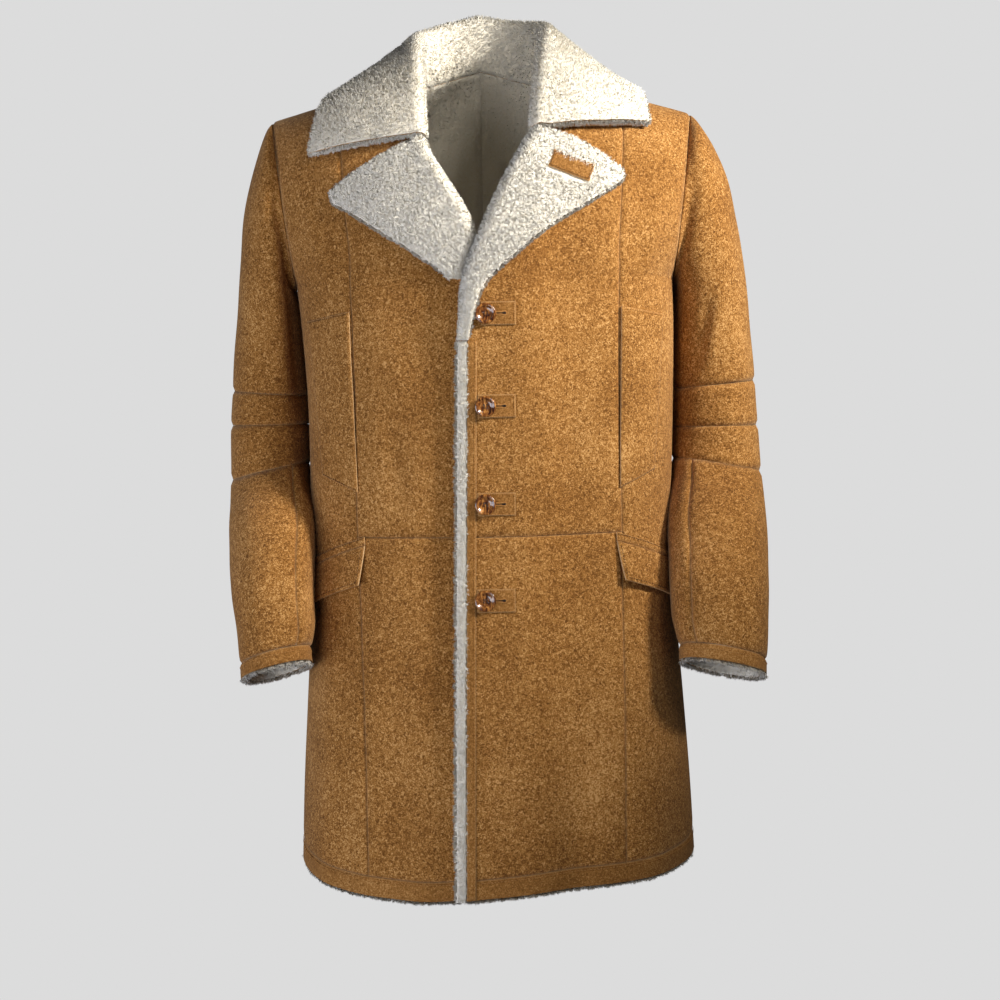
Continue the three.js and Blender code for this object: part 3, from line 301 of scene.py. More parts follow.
def half_width(up, z, turn):
    """Half the body's width: a table below the underarm, and above it a quick widening to the shoulder."""
    above = CHEST_HALF_WIDTH + SHOULDER_WIDENING * (1 - (1 - up) ** WIDENING_POWER)
    below = np.where(turn > 0, table_at(SECTIONS, 1, z), table_at(SECTIONS, 2, z))
    return np.where(up > 0, above, below)


def turn_of(x, up, z=UNDERARM_Z):
    """The plan angle at which the body is x from the middle."""
    share = np.minimum(1, np.abs(x) / half_width(up, z, 0.001 * np.sign(x)))
    return np.sign(x) * np.arcsin(share ** (PLAN_POWER / 2))


def plain_skin(up, z, turn):
    """A superellipse in plan below the underarm. Above it, the same plan closes in a quarter of another
    superellipse to the shoulder line."""
    up, z, turn = np.broadcast_arrays(up, z, turn)
    x = half_width(up, z, turn) * signed_power(np.sin(turn), 2 / PLAN_POWER)
    reach = np.abs(np.cos(turn)) ** (2 / PLAN_POWER)
    front = np.cos(turn) > 0
    low_y = np.where(front, -table_at(SECTIONS, 3, z), table_at(SECTIONS, 4, z)) * reach
    lean = np.clip(up, 0, 1) * np.pi / 2
    depth = np.where(front, -SECTIONS[0, 3], SECTIONS[0, 4])
    high_y = SHOULDER_SEAM_Y * (1 - np.cos(lean)) + depth * reach * np.abs(np.cos(lean)) ** (2 / DOME_POWER)
    high_z = UNDERARM_Z + (shoulder_z(x) - UNDERARM_Z) * np.sin(lean) ** (2 / DOME_POWER)
    return np.stack([x, np.where(up > 0, high_y, low_y), np.where(up > 0, high_z, z)], -1)


def normal_of(up, z, turn):
    """The direction out of the body, from small steps round it and up it."""
    across = plain_skin(up, z, turn + 0.004) - plain_skin(up, z, turn - 0.004)
    above = plain_skin(np.where(up > 0, np.minimum(1, up + 0.006), 0), z + 1.5, turn)
    below = plain_skin(np.where(up > 0, np.maximum(1e-6, up - 0.006), 0), z - 1.5, turn)
    out = unit(np.cross(across, above - below))
    x = plain_skin(up, z, turn)[..., 0]
    top = unit(np.stack([shoulder_z(x - 1.5) - shoulder_z(x + 1.5), 0 * x, 0 * x + 3], -1))
    return np.where((up > 0.997)[..., None], top, out)


def fold_push(folds, x, z):
    """Gaussian troughs and ridges along straight lines that fade out at their ends."""
    push = np.zeros(np.shape(x))
    for x1, z1, x2, z2, wide, deep in folds:
        dx, dz = x2 - x1, z2 - z1
        length = math.hypot(dx, dz)
        t = ((x - x1) * dx + (z - z1) * dz) / length**2
        off = ((x - x1) * dz - (z - z1) * dx) / length
        ends = smooth(-0.35, 0.25, t) * (1 - smooth(0.85, 1.35, t))
        push += deep * ends * np.exp(-((off / wide) ** 2))
    return push


def unrest(x, z):
    """The hide is never quite flat: crossing waves 50 to 170 mm long, 0.8 mm high in all."""
    return (
        0.35 * np.sin(x / 17 + 0.8 * np.sin(z / 61))
        * np.sin(z / 41 + 0.3)
        + 0.3 * np.sin(x / 9.7 - z / 33 + 1.9)
        + 0.28 * np.sin(z / 13 + 1.3 * np.sin(x / 29))
        * np.sin(x / 21 + 2)
    )


def lap_at(point):
    """How far the left front is lifted where it laps over the right one."""
    return LAP_LIFT * (1 - smooth(30, 98, point[..., 0])) * (1 - smooth(-205, -110, point[..., 2]))


def skin(up, z, turn, over=False):
    """The outer surface with its folds, and the direction out of it."""
    up, z, turn = np.broadcast_arrays(np.asarray(up, float), np.asarray(z, float), np.asarray(turn, float))
    point, out = plain_skin(up, z, turn), normal_of(up, z, turn)
    front = np.cos(turn) > 0
    x, height = point[..., 0], point[..., 2]
    push = np.where(front, fold_push(FRONT_FOLDS, x, height), fold_push(BACK_FOLDS, x, height))
    push = push + unrest(x + np.where(front, 0, 300), height)
    push = push * (1 - smooth(0.75, 0.95, np.abs(np.sin(turn))))
    if over:
        push = push + np.where(front, lap_at(point), 0)
    return point + out * push[..., None], out


def up_at(x, z):
    """The share of the dome at which the front has this height, 0 below the underarm."""
    share = np.clip((z - UNDERARM_Z) / (shoulder_z(x) - UNDERARM_Z), 0, 1)
    return np.arcsin(share ** (DOME_POWER / 2)) * 2 / np.pi


def front_skin(x, z, over=False):
    """The front's outer surface at a distance from the middle and a height."""
    x, z = np.broadcast_arrays(np.asarray(x, float), np.asarray(z, float))
    up = up_at(x, z)
    return skin(up, z, turn_of(x, up, z), over)


def crossing(table, up, z, side):
    """Where a row meets a line that is given as distance against height."""
    x = side * table_at(table, 1, np.where(up > 0, UNDERARM_Z, z))
    for _ in range(14):
        high = plain_skin(up, z, turn_of(x, up, z))[..., 2]
        x = np.where(up > 0, mix(x, side * table_at(table, 1, high), 0.7), x)
    return x


def body_rows(up, z, hem=0):
    """Rows of the body: share of the dome, height, and how much of the hem's own height is added."""
    return np.stack(np.broadcast_arrays(up, z, hem), -1).astype(float)


def chest_rows(count):
    return body_rows(0, np.linspace(WAIST_Z, UNDERARM_Z, count))


def share_of_dome(k):
    """Rows close together at both ends of the dome: k is from 0 at the underarm to 1 at the shoulder."""
    return np.arcsin(((1 - np.cos(np.pi * k)) / 2) ** (DOME_POWER / 2)) * 2 / np.pi


def upper_rows(k):
    return body_rows(share_of_dome(k), UNDERARM_Z)


def skirt_rows(share):
    return body_rows(0, mix(HEM_BAND, WAIST_Z, share), 1 - share)


def hem_rows(height):
    return body_rows(0, height, 1)


def row_parts(rows, turn):
    """The dome share and the height of rows at their plan angles."""
    return np.broadcast_to(rows[:, :1], np.shape(turn)), rows[:, 1:2] + rows[:, 2:3] * hem_z(turn)


DOME_STEPS = 36
DOME = np.arange(1, DOME_STEPS + 1) / DOME_STEPS
BOUNDARY = {1: LEFT_BOUNDARY, -1: RIGHT_BOUNDARY}


def seam_turn(table, rows, side):
    """The plan angle of a seam or edge at each row."""
    z = rows[:, 1] + rows[:, 2] * hem_z(0.0)
    x = crossing(table, rows[:, 0], z, side)
    return turn_of(x, rows[:, 0], z)


def side_turn(rows, side):
    """The plan angle of the side seam, and above it of the armhole."""
    up = rows[:, 0]
    share = np.sin(up * np.pi / 2) ** (2 / DOME_POWER)
    x = mix(CHEST_HALF_WIDTH, SHOULDER_X, share**1.2)
    return np.where(up > 0, turn_of(side * x, up), side * np.pi / 2)


def shares(count, length, fine=(1.1, 2.6, 5)):
    """Places from 0 to 1, with extra ones close to both ends for the rolled seams."""
    extra = np.array(fine) / length
    middle = np.linspace(0, 1, count + 1)
    middle = middle[(middle > extra[-1] * 1.4) & (middle < 1 - extra[-1] * 1.4)]
    return np.concatenate([[0], extra, middle, 1 - extra[::-1], [1]])


FRONT_COLUMNS = shares(34, 165)
SIDE_COLUMNS = shares(26, 105)
SKIRT_SHARES = shares(58, 370)
CHEST_COUNT = 46
ALL_SIDES = ("first", "last", "start", "end")


def behind(turn, side):
    """The plan angle behind the side seam that mirrors one in front of it."""
    return side * np.pi - turn


def mesh_object(name, points, faces, materials, slots=None, rough=None, values=None):
    """One object from points in millimetres and faces with the same number of corners. slots gives each
    face's material, rough marks faces that stay flat, and values are named numbers for each point."""
    mesh = bpy.data.meshes.new(name)
    count, corners = faces.shape
    mesh.vertices.add(len(points))
    mesh.vertices.foreach_set("co", (points * MM).astype(np.float32).ravel())
    mesh.loops.add(count * corners)
    mesh.loops.foreach_set("vertex_index", faces.astype(np.int32).ravel())
    mesh.polygons.add(count)
    mesh.polygons.foreach_set("loop_start", np.arange(0, count * corners, corners, dtype=np.int32))
    even = np.ones(count, bool) if rough is None else ~rough
    mesh.polygons.foreach_set("use_smooth", even)
    for material in materials:
        mesh.materials.append(material)
    if slots is not None:
        mesh.polygons.foreach_set("material_index", slots.astype(np.int32))
    for key, value in (values or {}).items():
        layer = mesh.attributes.new(key, "FLOAT", "POINT")
        layer.data.foreach_set("value", np.asarray(value, np.float32).ravel())
    mesh.update(calc_edges=True)
    mesh.validate()
    made = bpy.data.objects.new(name, mesh)
    bpy.context.scene.collection.objects.link(made)
    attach(made, "root")
    return made


def quads(at):
    """The corners of each cell in a grid of point numbers."""
    return np.stack([at[:-1, :-1], at[:-1, 1:], at[1:, 1:], at[1:, :-1]], -1).reshape(-1, 4)


def ring_grid(rows, columns):
    """Point numbers of a grid whose last column is its first one again."""
    at = np.arange(rows * columns).reshape(rows, columns)
    return np.concatenate([at, at[:, :1]], 1)


def facing_out(points, faces):
    """The faces of a closed quad mesh, turned round if its signed volume is negative."""
    a, b, c, d = (points[faces[:, k]] for k in range(4))
    inside_out = np.sum(a * np.cross(b, c)) + np.sum(a * np.cross(c, d)) < 0
    return faces[:, ::-1] if inside_out else faces


# Each turns a grid so that the named side is its first row.
AS_FIRST = {
    "first": lambda grid: grid,
    "last": lambda grid: grid[::-1],
    "start": lambda grid: grid.swapaxes(0, 1),
    "end": lambda grid: grid.swapaxes(0, 1)[::-1],
}
FAR = 999.0


def arc(points, axis):
    """Distance along a grid from its first row or column."""
    steps = np.linalg.norm(np.diff(points, axis=axis), axis=-1)
    start = np.zeros_like(np.take(steps, [0], axis))
    return np.cumsum(np.concatenate([start, steps], axis), axis)


def seam_distance(points, sides):
    """Distance in millimetres to the nearest seam of a grid: first or last row, start or end column."""
    far = np.full(points.shape[:2], FAR)
    down, along = arc(points, 0), arc(points, 1)
    if "first" in sides:
        far = np.minimum(far, down)
    if "last" in sides:
        far = np.minimum(far, down[-1:] - down)
    if "start" in sides:
        far = np.minimum(far, along)
    if "end" in sides:
        far = np.minimum(far, along[:, -1:] - along)
    return far


def wall(name, outer, inner, materials, seams=(), tube=False, roll=1.6):
    """A closed wall between an outer and an inner grid. The outer one dips at its seams by
    roll exp(-(d/1.5)^2) + 0.5 roll exp(-(d/5)^2), where d is the distance to the seam."""
    rows, columns = outer.shape[:2]
    ring = np.concatenate([outer, outer[:, :1]], 1) if tube else outer
    distance = seam_distance(ring, seams)[:, :columns]
    dip = roll * (np.exp(-((distance / 1.5) ** 2)) + 0.5 * np.exp(-((distance / 5) ** 2)))
    outer = outer + unit(inner - outer) * dip[..., None]
    layer = rows * columns
    at = ring_grid(rows, columns) if tube else np.arange(layer).reshape(rows, columns)
    face = quads(at)
    back = face[:, [0, 3, 2, 1]] + layer
    rims = [
        np.stack([at[0, 1:], at[0, :-1], at[0, :-1] + layer, at[0, 1:] + layer], -1),
        np.stack([at[-1, :-1], at[-1, 1:], at[-1, 1:] + layer, at[-1, :-1] + layer], -1),
    ]
    if not tube:
        rims.append(np.stack([at[:-1, 0], at[1:, 0], at[1:, 0] + layer, at[:-1, 0] + layer], -1))
        rims.append(np.stack([at[1:, -1], at[:-1, -1], at[:-1, -1] + layer, at[1:, -1] + layer], -1))
    rim = np.concatenate(rims)
    faces = np.concatenate([face, back, rim])
    points = np.concatenate([outer.reshape(-1, 3), inner.reshape(-1, 3)])
    faces = facing_out(points, faces)
    slots = np.repeat([0, 1, 2], [len(face), len(back), len(rim)])
    values = {"seam_mm": np.concatenate([distance.ravel(), np.full(layer, FAR)])}
    return mesh_object(name, points, faces, materials, slots, slots == 2, values)


def panel(rows, from_turn, to_turn, columns, over):
    """Outer and inner grid of a stretch of the body between two seams."""
    turn = mix(from_turn[:, None], to_turn[:, None], columns[None, :])
    up, z = row_parts(rows, turn)
    point, out = skin(up, z, turn, over)
    return point, point - out * HIDE


def draw_in(outer, inner, sides):
    """Moves the named sides of both grids in by half a seam."""
    for grid in (outer, inner):
        copy = grid.copy()
        for side in sides:
            turned, old = AS_FIRST[side](grid), AS_FIRST[side](copy)
            turned[0] += unit(old[1] - old[0]) * HALF_SEAM


# Wool
def spread(outer, inner, count, random, keep=None):
    """Random places on a grid, even by area: their points, directions out, directions along a row and
    shares of the way from the first row to the last."""
    a, b, c, d = outer[:-1, :-1], outer[:-1, 1:], outer[1:, 1:], outer[1:, :-1]
    area = np.linalg.norm(np.cross(c - a, d - b), axis=-1)
    if keep is not None:
        area = area * keep
    chance = (area / area.sum()).ravel()
    cell = random.choice(chance.size, count, p=chance)
    i, j = np.unravel_index(cell, area.shape)
    u, v = random.random((2, count, 1))

    def at(grid):
        low = mix(grid[i, j], grid[i, j + 1], u)
        return mix(low, mix(grid[i + 1, j], grid[i + 1, j + 1], u), v)

    point = at(outer)
    out = unit(point - at(inner))
    along = unit(outer[i, j + 1] - outer[i, j])
    return point, out, along, (i + v[:, 0]) / area.shape[0]


def chance(cells, k):
    """A number from 0 to 1 for each cell of space: the fraction of a large sine of its place."""
    return np.modf(np.abs(np.sin(cells @ np.array([12.9898, 78.233, 37.719]) + 4.1 * k)) * 43758.5)[0]


def wool(name, places, length, width, random, lean=0.5, tuft=2.7, pull=0.3):
    """Blades of two triangles: root, both sides half way up, and tip. Space is cut into cells of one tuft,
    and the blades of a cell lean the same way and close up by pull towards its middle. Their shading
    follows the pile as a whole."""
    point, out, along, growth = (np.concatenate(part) for part in zip(*places))
    count = len(point)
    across = unit(np.cross(out, along))
    cell = np.floor(point / tuft)
    turn = 2 * np.pi * chance(cell, 0)
    size = lean * (0.35 + 0.9 * chance(cell, 1))
    own = random.normal(0, 0.3, (2, count))
    tilt = along * (size * np.cos(turn) + own[0])[:, None] + across * (size * np.sin(turn) + own[1])[:, None]
    centre = (cell + 0.5) * tuft - point
    centre -= out * np.sum(centre * out, -1, keepdims=True)
    long = length * (0.7 + 0.45 * chance(cell, 2) + random.normal(0, 0.1, count))
    long = (growth * np.clip(long, 0.4 * length, 1.25 * length))[:, None]
    way = unit(out + tilt)
    end = unit(way + 0.6 * tilt)
    flat = unit(np.cross(way, unit(random.normal(0, 1, (count, 3)))))
    root = point - out * 0.2
    middle = root + way * long * 0.5 + centre * pull * 0.5
    tip = middle + end * long * 0.5 + centre * pull * 0.5
    corners = np.stack([root, middle - flat * width / 2, middle + flat * width / 2, tip], 1)
    base = (np.arange(count) * 4)[:, None]
    faces = np.concatenate([base + [0, 1, 2], base + [1, 3, 2]])
    facing = np.cross(corners[:, 1] - corners[:, 0], corners[:, 2] - corners[:, 0])
    away = np.tile(np.sum(facing * out, -1) < 0, 2)
    faces[away] = faces[away][:, ::-1]
    # tip runs from 0 at the root to 1 at the tip; the wool colour uses it to paint shade at the roots.
    values = {
        "tip": np.tile([0.0, 0.55, 0.55, 1.0], count),
        "own": np.repeat(random.random(count), 4),
        "lock": np.repeat(chance(cell, 3), 4),
    }
    made = mesh_object(name, corners.reshape(-1, 3), faces, [WOOL], values=values)
    soft = unit(out + 0.3 * tilt)
    made.data.normals_split_custom_set_from_vertices(np.repeat(soft, 4, axis=0))
    return made


# Thread
TAN, BROWN = "tan", "brown"
SEWN = {TAN: [], BROWN: []}
THREAD_RINGS, THREAD_CORNERS = 5, 4


def sew(colour, centre, along, out, length=2.4, radius=0.3):
    """Notes stitches by their centres and directions. They are made together at the end."""
    along, out = np.broadcast_to(along, centre.shape), np.broadcast_to(out, centre.shape)
    size = np.broadcast_to([[length, radius]], (len(centre), 2))
    SEWN[colour].append(np.concatenate([centre, unit(along), unit(out), size], 1))


def sew_line(colour, points, out, pitch=3.4, length=2.5, radius=0.3):
    """Stitches at an even pitch along a line of points."""
    far = np.concatenate([[0], np.cumsum(np.linalg.norm(np.diff(points, axis=0), axis=-1))])
    count = max(2, round(far[-1] / pitch))
    at = (np.arange(count) + 0.5) * far[-1] / count

    def along(values, where):
        return np.stack([np.interp(where, far, values[:, k]) for k in range(3)], -1)

    way = along(points, np.minimum(at + 0.4, far[-1])) - along(points, np.maximum(at - 0.4, 0))
    sew(colour, along(points, at), way, along(out, at), length, radius)


def stitches(name, colour, material):
    """Every stitch is a short round thread that comes out of the hide, lies on it and goes back in: five
    rings of four points."""
    data = np.concatenate(SEWN[colour])
    centre, along, out = data[:, :3], data[:, 3:6], data[:, 6:9]
    length, radius = data[:, 9], data[:, 10]
    aside = unit(np.cross(out, along))
    angle = 2 * np.pi * np.arange(THREAD_CORNERS) / THREAD_CORNERS
    place = np.array([-0.5, -0.4, 0, 0.4, 0.5])
    thick, high = np.array([0.5, 0.95, 1, 0.95, 0.5]), np.array([-0.7, 0.35, 0.75, 0.35, -0.7])
    middle = (
        centre[:, None]
        + along[:, None] * (length[:, None] * place)[..., None]
        + out[:, None] * (radius[:, None] * high)[..., None]
    )
    size = (radius[:, None] * thick)[..., None, None]
    rings = middle[:, :, None] + size * (
        aside[:, None, None] * np.cos(angle)[:, None] + out[:, None, None] * np.sin(angle)[:, None]
    )
    each = THREAD_RINGS * THREAD_CORNERS
    ends = [[3, 2, 1, 0], [each - 4, each - 3, each - 2, each - 1]]
    one = np.concatenate([quads(ring_grid(THREAD_RINGS, THREAD_CORNERS)), ends])
    faces = ((np.arange(len(data)) * each)[:, None, None] + one[None]).reshape(-1, 4)
    points = rings.reshape(-1, 3)
    return mesh_object(name, points, facing_out(points, faces), [material])


# Materials
def linear(code):
    """An sRGB hex colour as linear red, green, blue and 1."""
    value = np.array([int(code[k : k + 2], 16) for k in (0, 2, 4)]) / 255
    return (*np.where(value < 0.04045, value / 12.92, ((value + 0.055) / 1.055) ** 2.4), 1.0)


def node(tree, kind, settings=(), sockets=(), links=()):
    """Adds a node. settings are its own properties, sockets are values by name or number, and links are
    (socket here, node, socket there)."""
    made = tree.nodes.new(kind)
    for key, value in dict(settings).items():
        setattr(made, key, value)
    for key, value in dict(sockets).items():
        made.inputs[key].default_value = value
    for key, other, output in links:
        tree.links.new(other.outputs[output], made.inputs[key])
    return made


def ramp(tree, source, output, stops):
    """A colour ramp with (place, sRGB hex) stops."""
    made = node(tree, "ShaderNodeValToRGB", links=[("Fac", source, output)])
    for k, (place, code) in enumerate(stops):
        stop = made.color_ramp.elements[k] if k < 2 else made.color_ramp.elements.new(place)
        stop.position = place
        stop.color = linear(code)
    return made


def noise(tree, place, scale, detail=2.0, rough=0.5, distortion=0.0, output="Object"):
    """Fractal noise over a place."""
    return node(
        tree,
        "ShaderNodeTexNoise",
        sockets={"Scale": scale, "Detail": detail, "Roughness": rough, "Distortion": distortion},
        links=[("Vector", place, output)],
    )


def blend(tree, a, share, b, output):
    """A share of a's factor on top of b."""
    links = [(0, a, "Fac"), (2, b, output)]
    return node(tree, "ShaderNodeMath", {"operation": "MULTIPLY_ADD"}, {1: share}, links)


def bumps(tree, source, output, strength, high):
    """Bumps up to the given height in millimetres."""
    sockets = {"Strength": strength, "Distance": high * MM}
    return node(tree, "ShaderNodeBump", sockets=sockets, links=[("Height", source, output)])


def attribute(tree, name):
    return node(tree, "ShaderNodeAttribute", {"attribute_name": name})


def soft(rough, sheen, sheen_rough):
    """The surface of a napped or woolly thing: matt, with a bloom at the edges of its form."""
    return {
        "Roughness": rough,
        "Specular IOR Level": 0.15,
        "Sheen Weight": sheen,
        "Sheen Roughness": sheen_rough,
    }


def new_material(name):
    made = bpy.data.materials.new(name)
    made.use_nodes = True
    tree = made.node_tree
    tree.nodes.clear()
    return made, tree


def closed(made, tree, surface, colour=None, bump=None, output="Color"):
    """Ends a material with its shader: socket values, and links from the colour and the bumps."""
    links = [("Base Color", colour, output)] if colour else []
    if bump:
        links.append(("Normal", bump, "Normal"))
    shader = node(tree, "ShaderNodeBsdfPrincipled", sockets=surface, links=links)
    node(tree, "ShaderNodeOutputMaterial", links=[("Surface", shader, "BSDF")])
    return made


def suede(name, stops, edge_share, grain_mm, bump_mm, roughness):
    """Napped split hide: short pale fibres that curl over darker ground, cloudy where the nap lies another
    way, and pale at raw seam edges. The eye sees a dry, warm, matt leather with a faint bloom."""
    made, tree = new_material(name)
    place = node(tree, "ShaderNodeTexCoord")
    grain = noise(tree, place, 1000 / grain_mm, 2.0, 0.6, 1.4)
    nap = noise(tree, place, 820.0, 1.0)
    cloud = noise(tree, place, 11.0)
    height = blend(tree, nap, 0.4, grain, "Fac")
    tone = blend(tree, cloud, 0.26, height, "Value")
    colour = ramp(tree, tone, "Value", stops)
    edge = node(
        tree,
        "ShaderNodeMapRange",
        sockets={"From Min": 0.3, "From Max": 1.7, "To Min": edge_share, "To Max": 0.0},
        links=[("Value", attribute(tree, "seam_mm"), "Fac")],
    )
    links = [("Factor", edge, "Result"), ("A", colour, "Color")]
    edged = node(tree, "ShaderNodeMix", {"data_type": "RGBA"}, {"B": linear("cda878")}, links)
    bump = bumps(tree, height, "Value", 0.8, bump_mm)
    surface = {**soft(roughness, 0.3, 0.5), "Sheen Tint": linear("d9c4a8")}
    return closed(made, tree, surface, edged, bump, "Result")


def fleece():
    """The hide's wool side, seen between the blades: dense sheared curls, soft and matt."""
    made, tree = new_material("sheared_wool_ground")
    place = node(tree, "ShaderNodeTexCoord")
    sockets = {"Scale": 330.0, "Smoothness": 0.7}
    links = [("Vector", place, "Object")]
    curls = node(tree, "ShaderNodeTexVoronoi", {"feature": "SMOOTH_F1"}, sockets, links)
    wisps = noise(tree, place, 420.0, 4.0, 0.7, 1.2)
    both = blend(tree, wisps, 0.8, curls, "Distance")
    colour = ramp(tree, both, "Value", [(0.25, "e6dcc6"), (0.8, "f5eee0")])
    return closed(made, tree, soft(0.95, 0.25, 0.6), colour, bumps(tree, both, "Value", 0.5, 0.5))


def wool_blades():
    """Cream wool in fine blades, darker at the roots and paler at the tips as painted shade of the pile's
    depth, each lock a little different.
    """
    made, tree = new_material("sheared_wool")
    # Painted shade: the colour darkens from each blade's tip to its root, plus a random tone for each blade
    # and each lock.
    root_shade_and_own_tone = blend(tree, attribute(tree, "own"), 0.3, attribute(tree, "tip"), "Fac")
    tone = blend(tree, attribute(tree, "lock"), 0.25, root_shade_and_own_tone, "Value")
    colour = ramp(tree, tone, "Value", [(0.1, "e3dac4"), (0.6, "f6f0e2"), (1.0, "fbf7ee")])
    return closed(made, tree, soft(0.9, 0.2, 0.6), colour)


def cut_hide():
    """The cut thickness of the hide: pale tan and fibrous, as where shears went through it."""
    made, tree = new_material("cut_hide_edge")
    fibre = noise(tree, node(tree, "ShaderNodeTexCoord"), 900.0, 3.0)
    colour = ramp(tree, fibre, "Fac", [(0.35, "b98d5c"), (0.65, "dcbc90")])
    surface = {"Roughness": 0.9, "Specular IOR Level": 0.2}
    return closed(made, tree, surface, colour, bumps(tree, fibre, "Fac", 0.5, 0.3))


def horn():
    """Polished horn: streaks of amber in dark brown, and a clear gloss."""
    made, tree = new_material("polished_horn")
    place = node(tree, "ShaderNodeTexCoord")
    sockets = {"Scale": (1, 1, 0.35), "Rotation": (0, 0.5, 0)}
    turned = node(tree, "ShaderNodeMapping", sockets=sockets, links=[("Vector", place, "Object")])
    streak = noise(tree, turned, 260.0, 4.0, distortion=1.6, output="Vector")
    stops = [(0.32, "2b1409"), (0.66, "c98a44"), (0.46, "6a3a18"), (0.56, "95602c")]
    surface = {"Roughness": 0.18, "Coat Weight": 1.0, "Coat Roughness": 0.04}
    return closed(made, tree, surface, ramp(tree, streak, "Fac", stops))


def thread(name, code):
    """Waxed sewing thread: even and slightly shiny."""
    made, tree = new_material(name)
    links = [("Vector", node(tree, "ShaderNodeTexCoord"), "Object")]
    twist = node(tree, "ShaderNodeTexWave", sockets={"Scale": 900.0}, links=links)
    surface = {"Base Color": linear(code), "Roughness": 0.6, "Specular IOR Level": 0.3}
    return closed(made, tree, surface, bump=bumps(tree, twist, "Fac", 0.4, 0.1))


NAPPED_STOPS = [(0.66, "653e18"), (1.02, "c99a60"), (0.8, "8d5f2b"), (0.91, "a9783f")]
PRESSED_STOPS = [(0.64, "70471b"), (1.03, "b88a52"), (0.8, "8c5f2b"), (0.91, "a0703a")]
SUEDE = suede("napped_suede", NAPPED_STOPS, 0.14, 2.9, 0.6, 0.95)
PRESSED = suede("pressed_suede", PRESSED_STOPS, 0.3, 2.4, 0.3, 0.85)
FLEECE = fleece()
WOOL = wool_blades()
CUT = cut_hide()
HORN = horn()
TAN_THREAD = thread("waxed_tan_thread", "c08a4a")
BROWN_THREAD = thread("waxed_brown_thread", "4a2c13")
# Painted shadow: a near-black colour, made with the thread's shader, for the sheets that stand for the shade
# inside the buttonhole slits.
SLIT_SHADOW = thread("painted_slit_shadow", "1c120a")
HIDE_SET = [SUEDE, FLEECE, CUT]
BAND_SET = [PRESSED, FLEECE, CUT]
WOOL_SET = [FLEECE, SUEDE, CUT]


# Panels of the body
def tag(piece, node_name):
    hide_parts(node_name)
    return piece


def named(stem, side):
    return f"{stem}_{'left' if side > 0 else 'right'}"


GRIDS = {}


def hide_piece(node_name, stem, side, grids, drawn, seams, materials=HIDE_SET):
    """A wall of hide with half a seam taken off the drawn sides."""
    face, back = grids
    draw_in(face, back, drawn)
    return tag(wall(named(stem, side), face, back, materials, seams), named(node_name, side))


def front_stretch(rows, side):
    """The grids from the closing edge to the princess seam."""
    edge, seam = seam_turn(BOUNDARY[side], rows, side), seam_turn(PRINCESS, rows, side)
    return panel(rows, edge, seam, FRONT_COLUMNS, side > 0)


def side_stretch(rows, side):
    """The grids from the princess seam to the side seam."""
    return panel(rows, seam_turn(PRINCESS, rows, side), side_turn(rows, side), SIDE_COLUMNS, side > 0)


def rim_ring(side):
    """The armhole's rim from the underarm up the front and down the back. Its thickness goes straight in."""
    rows = np.vstack([[0, UNDERARM_Z, 0], upper_rows(DOME)])
    turn = side_turn(rows, side)
    front = skin(rows[:, 0], rows[:, 1], turn)[0]
    back = skin(rows[1:-1, 0], rows[1:-1, 1], behind(turn[1:-1], side))[0]
    outer = np.concatenate([front, back[::-1]])
    along = np.roll(outer, -1, 0) - np.roll(outer, 1, 0)
    inward = unit(np.stack([0 * along[:, 0], along[:, 2], -along[:, 1]], -1))
    return outer, outer + inward * HIDE


RIM = {side: rim_ring(side) for side in (1, -1)}


def upper_knots(side):
    """Rows of a front above the underarm: the dome's rows, with one at the end of the lapel."""
    gorge = up_at(side * table_at(BOUNDARY[side], 1, GORGE_Z[side]), GORGE_Z[side])
    return np.sort(np.append(share_of_dome(DOME), gorge)), gorge


def front_upper(side):
    chest = chest_rows(CHEST_COUNT)[:, 1]
    z = np.sort(np.concatenate([chest, WAIST_Z + np.array([1.1, 2.6])]))
    rows = np.vstack([body_rows(0, z), body_rows(upper_knots(side)[0], UNDERARM_Z)])
    seams = ("first", "end", "last")
    hide_piece("front_upper", "front_upper_panel", side, front_stretch(rows, side), ALL_SIDES, seams)


def front_skirt(side):
    grids = front_stretch(skirt_rows(SKIRT_SHARES), side)
    hide_piece("front_skirt", "front_skirt_panel", side, grids, ALL_SIDES, ("first", "last", "end"))


def whole_rows():
    """Rows from the hem band to the shoulder."""
    return np.vstack([skirt_rows(SKIRT_SHARES[:-4]), chest_rows(CHEST_COUNT), upper_rows(DOME)])


def side_front(side):
    rows = whole_rows()
    face, back = side_stretch(rows, side)
    outer, inner = RIM[side]
    first = len(rows) - DOME_STEPS - 1
    face[first:, -1], back[first:, -1] = outer[: DOME_STEPS + 1], inner[: DOME_STEPS + 1]
    seams = ("first", "start", "end", "last")
    hide_piece("side_front", "side_front_panel", side, (face, back), ("first", "last", "start"), seams)


def neck_up(x):
    """The share of the dome at which the back's neck seam runs: its plan is half an ellipse."""
    x = np.asarray(x, float)
    wanted = SHOULDER_SEAM_Y + NECK_BACK_DEPTH * np.sqrt(np.maximum(0, 1 - (x / NECK_X) ** 2))
    low, high = np.full(x.shape, 0.3), np.ones(x.shape)
    for _ in range(30):
        up = (low + high) / 2
        deep = plain_skin(up, UNDERARM_Z + 0 * up, np.pi - turn_of(x, up))[..., 1] > wanted
        low, high = np.where(deep, up, low), np.where(deep, high, up)
    return np.where(np.abs(x) >= NECK_X, 1.0, low)


BACK_TURN = 0.62


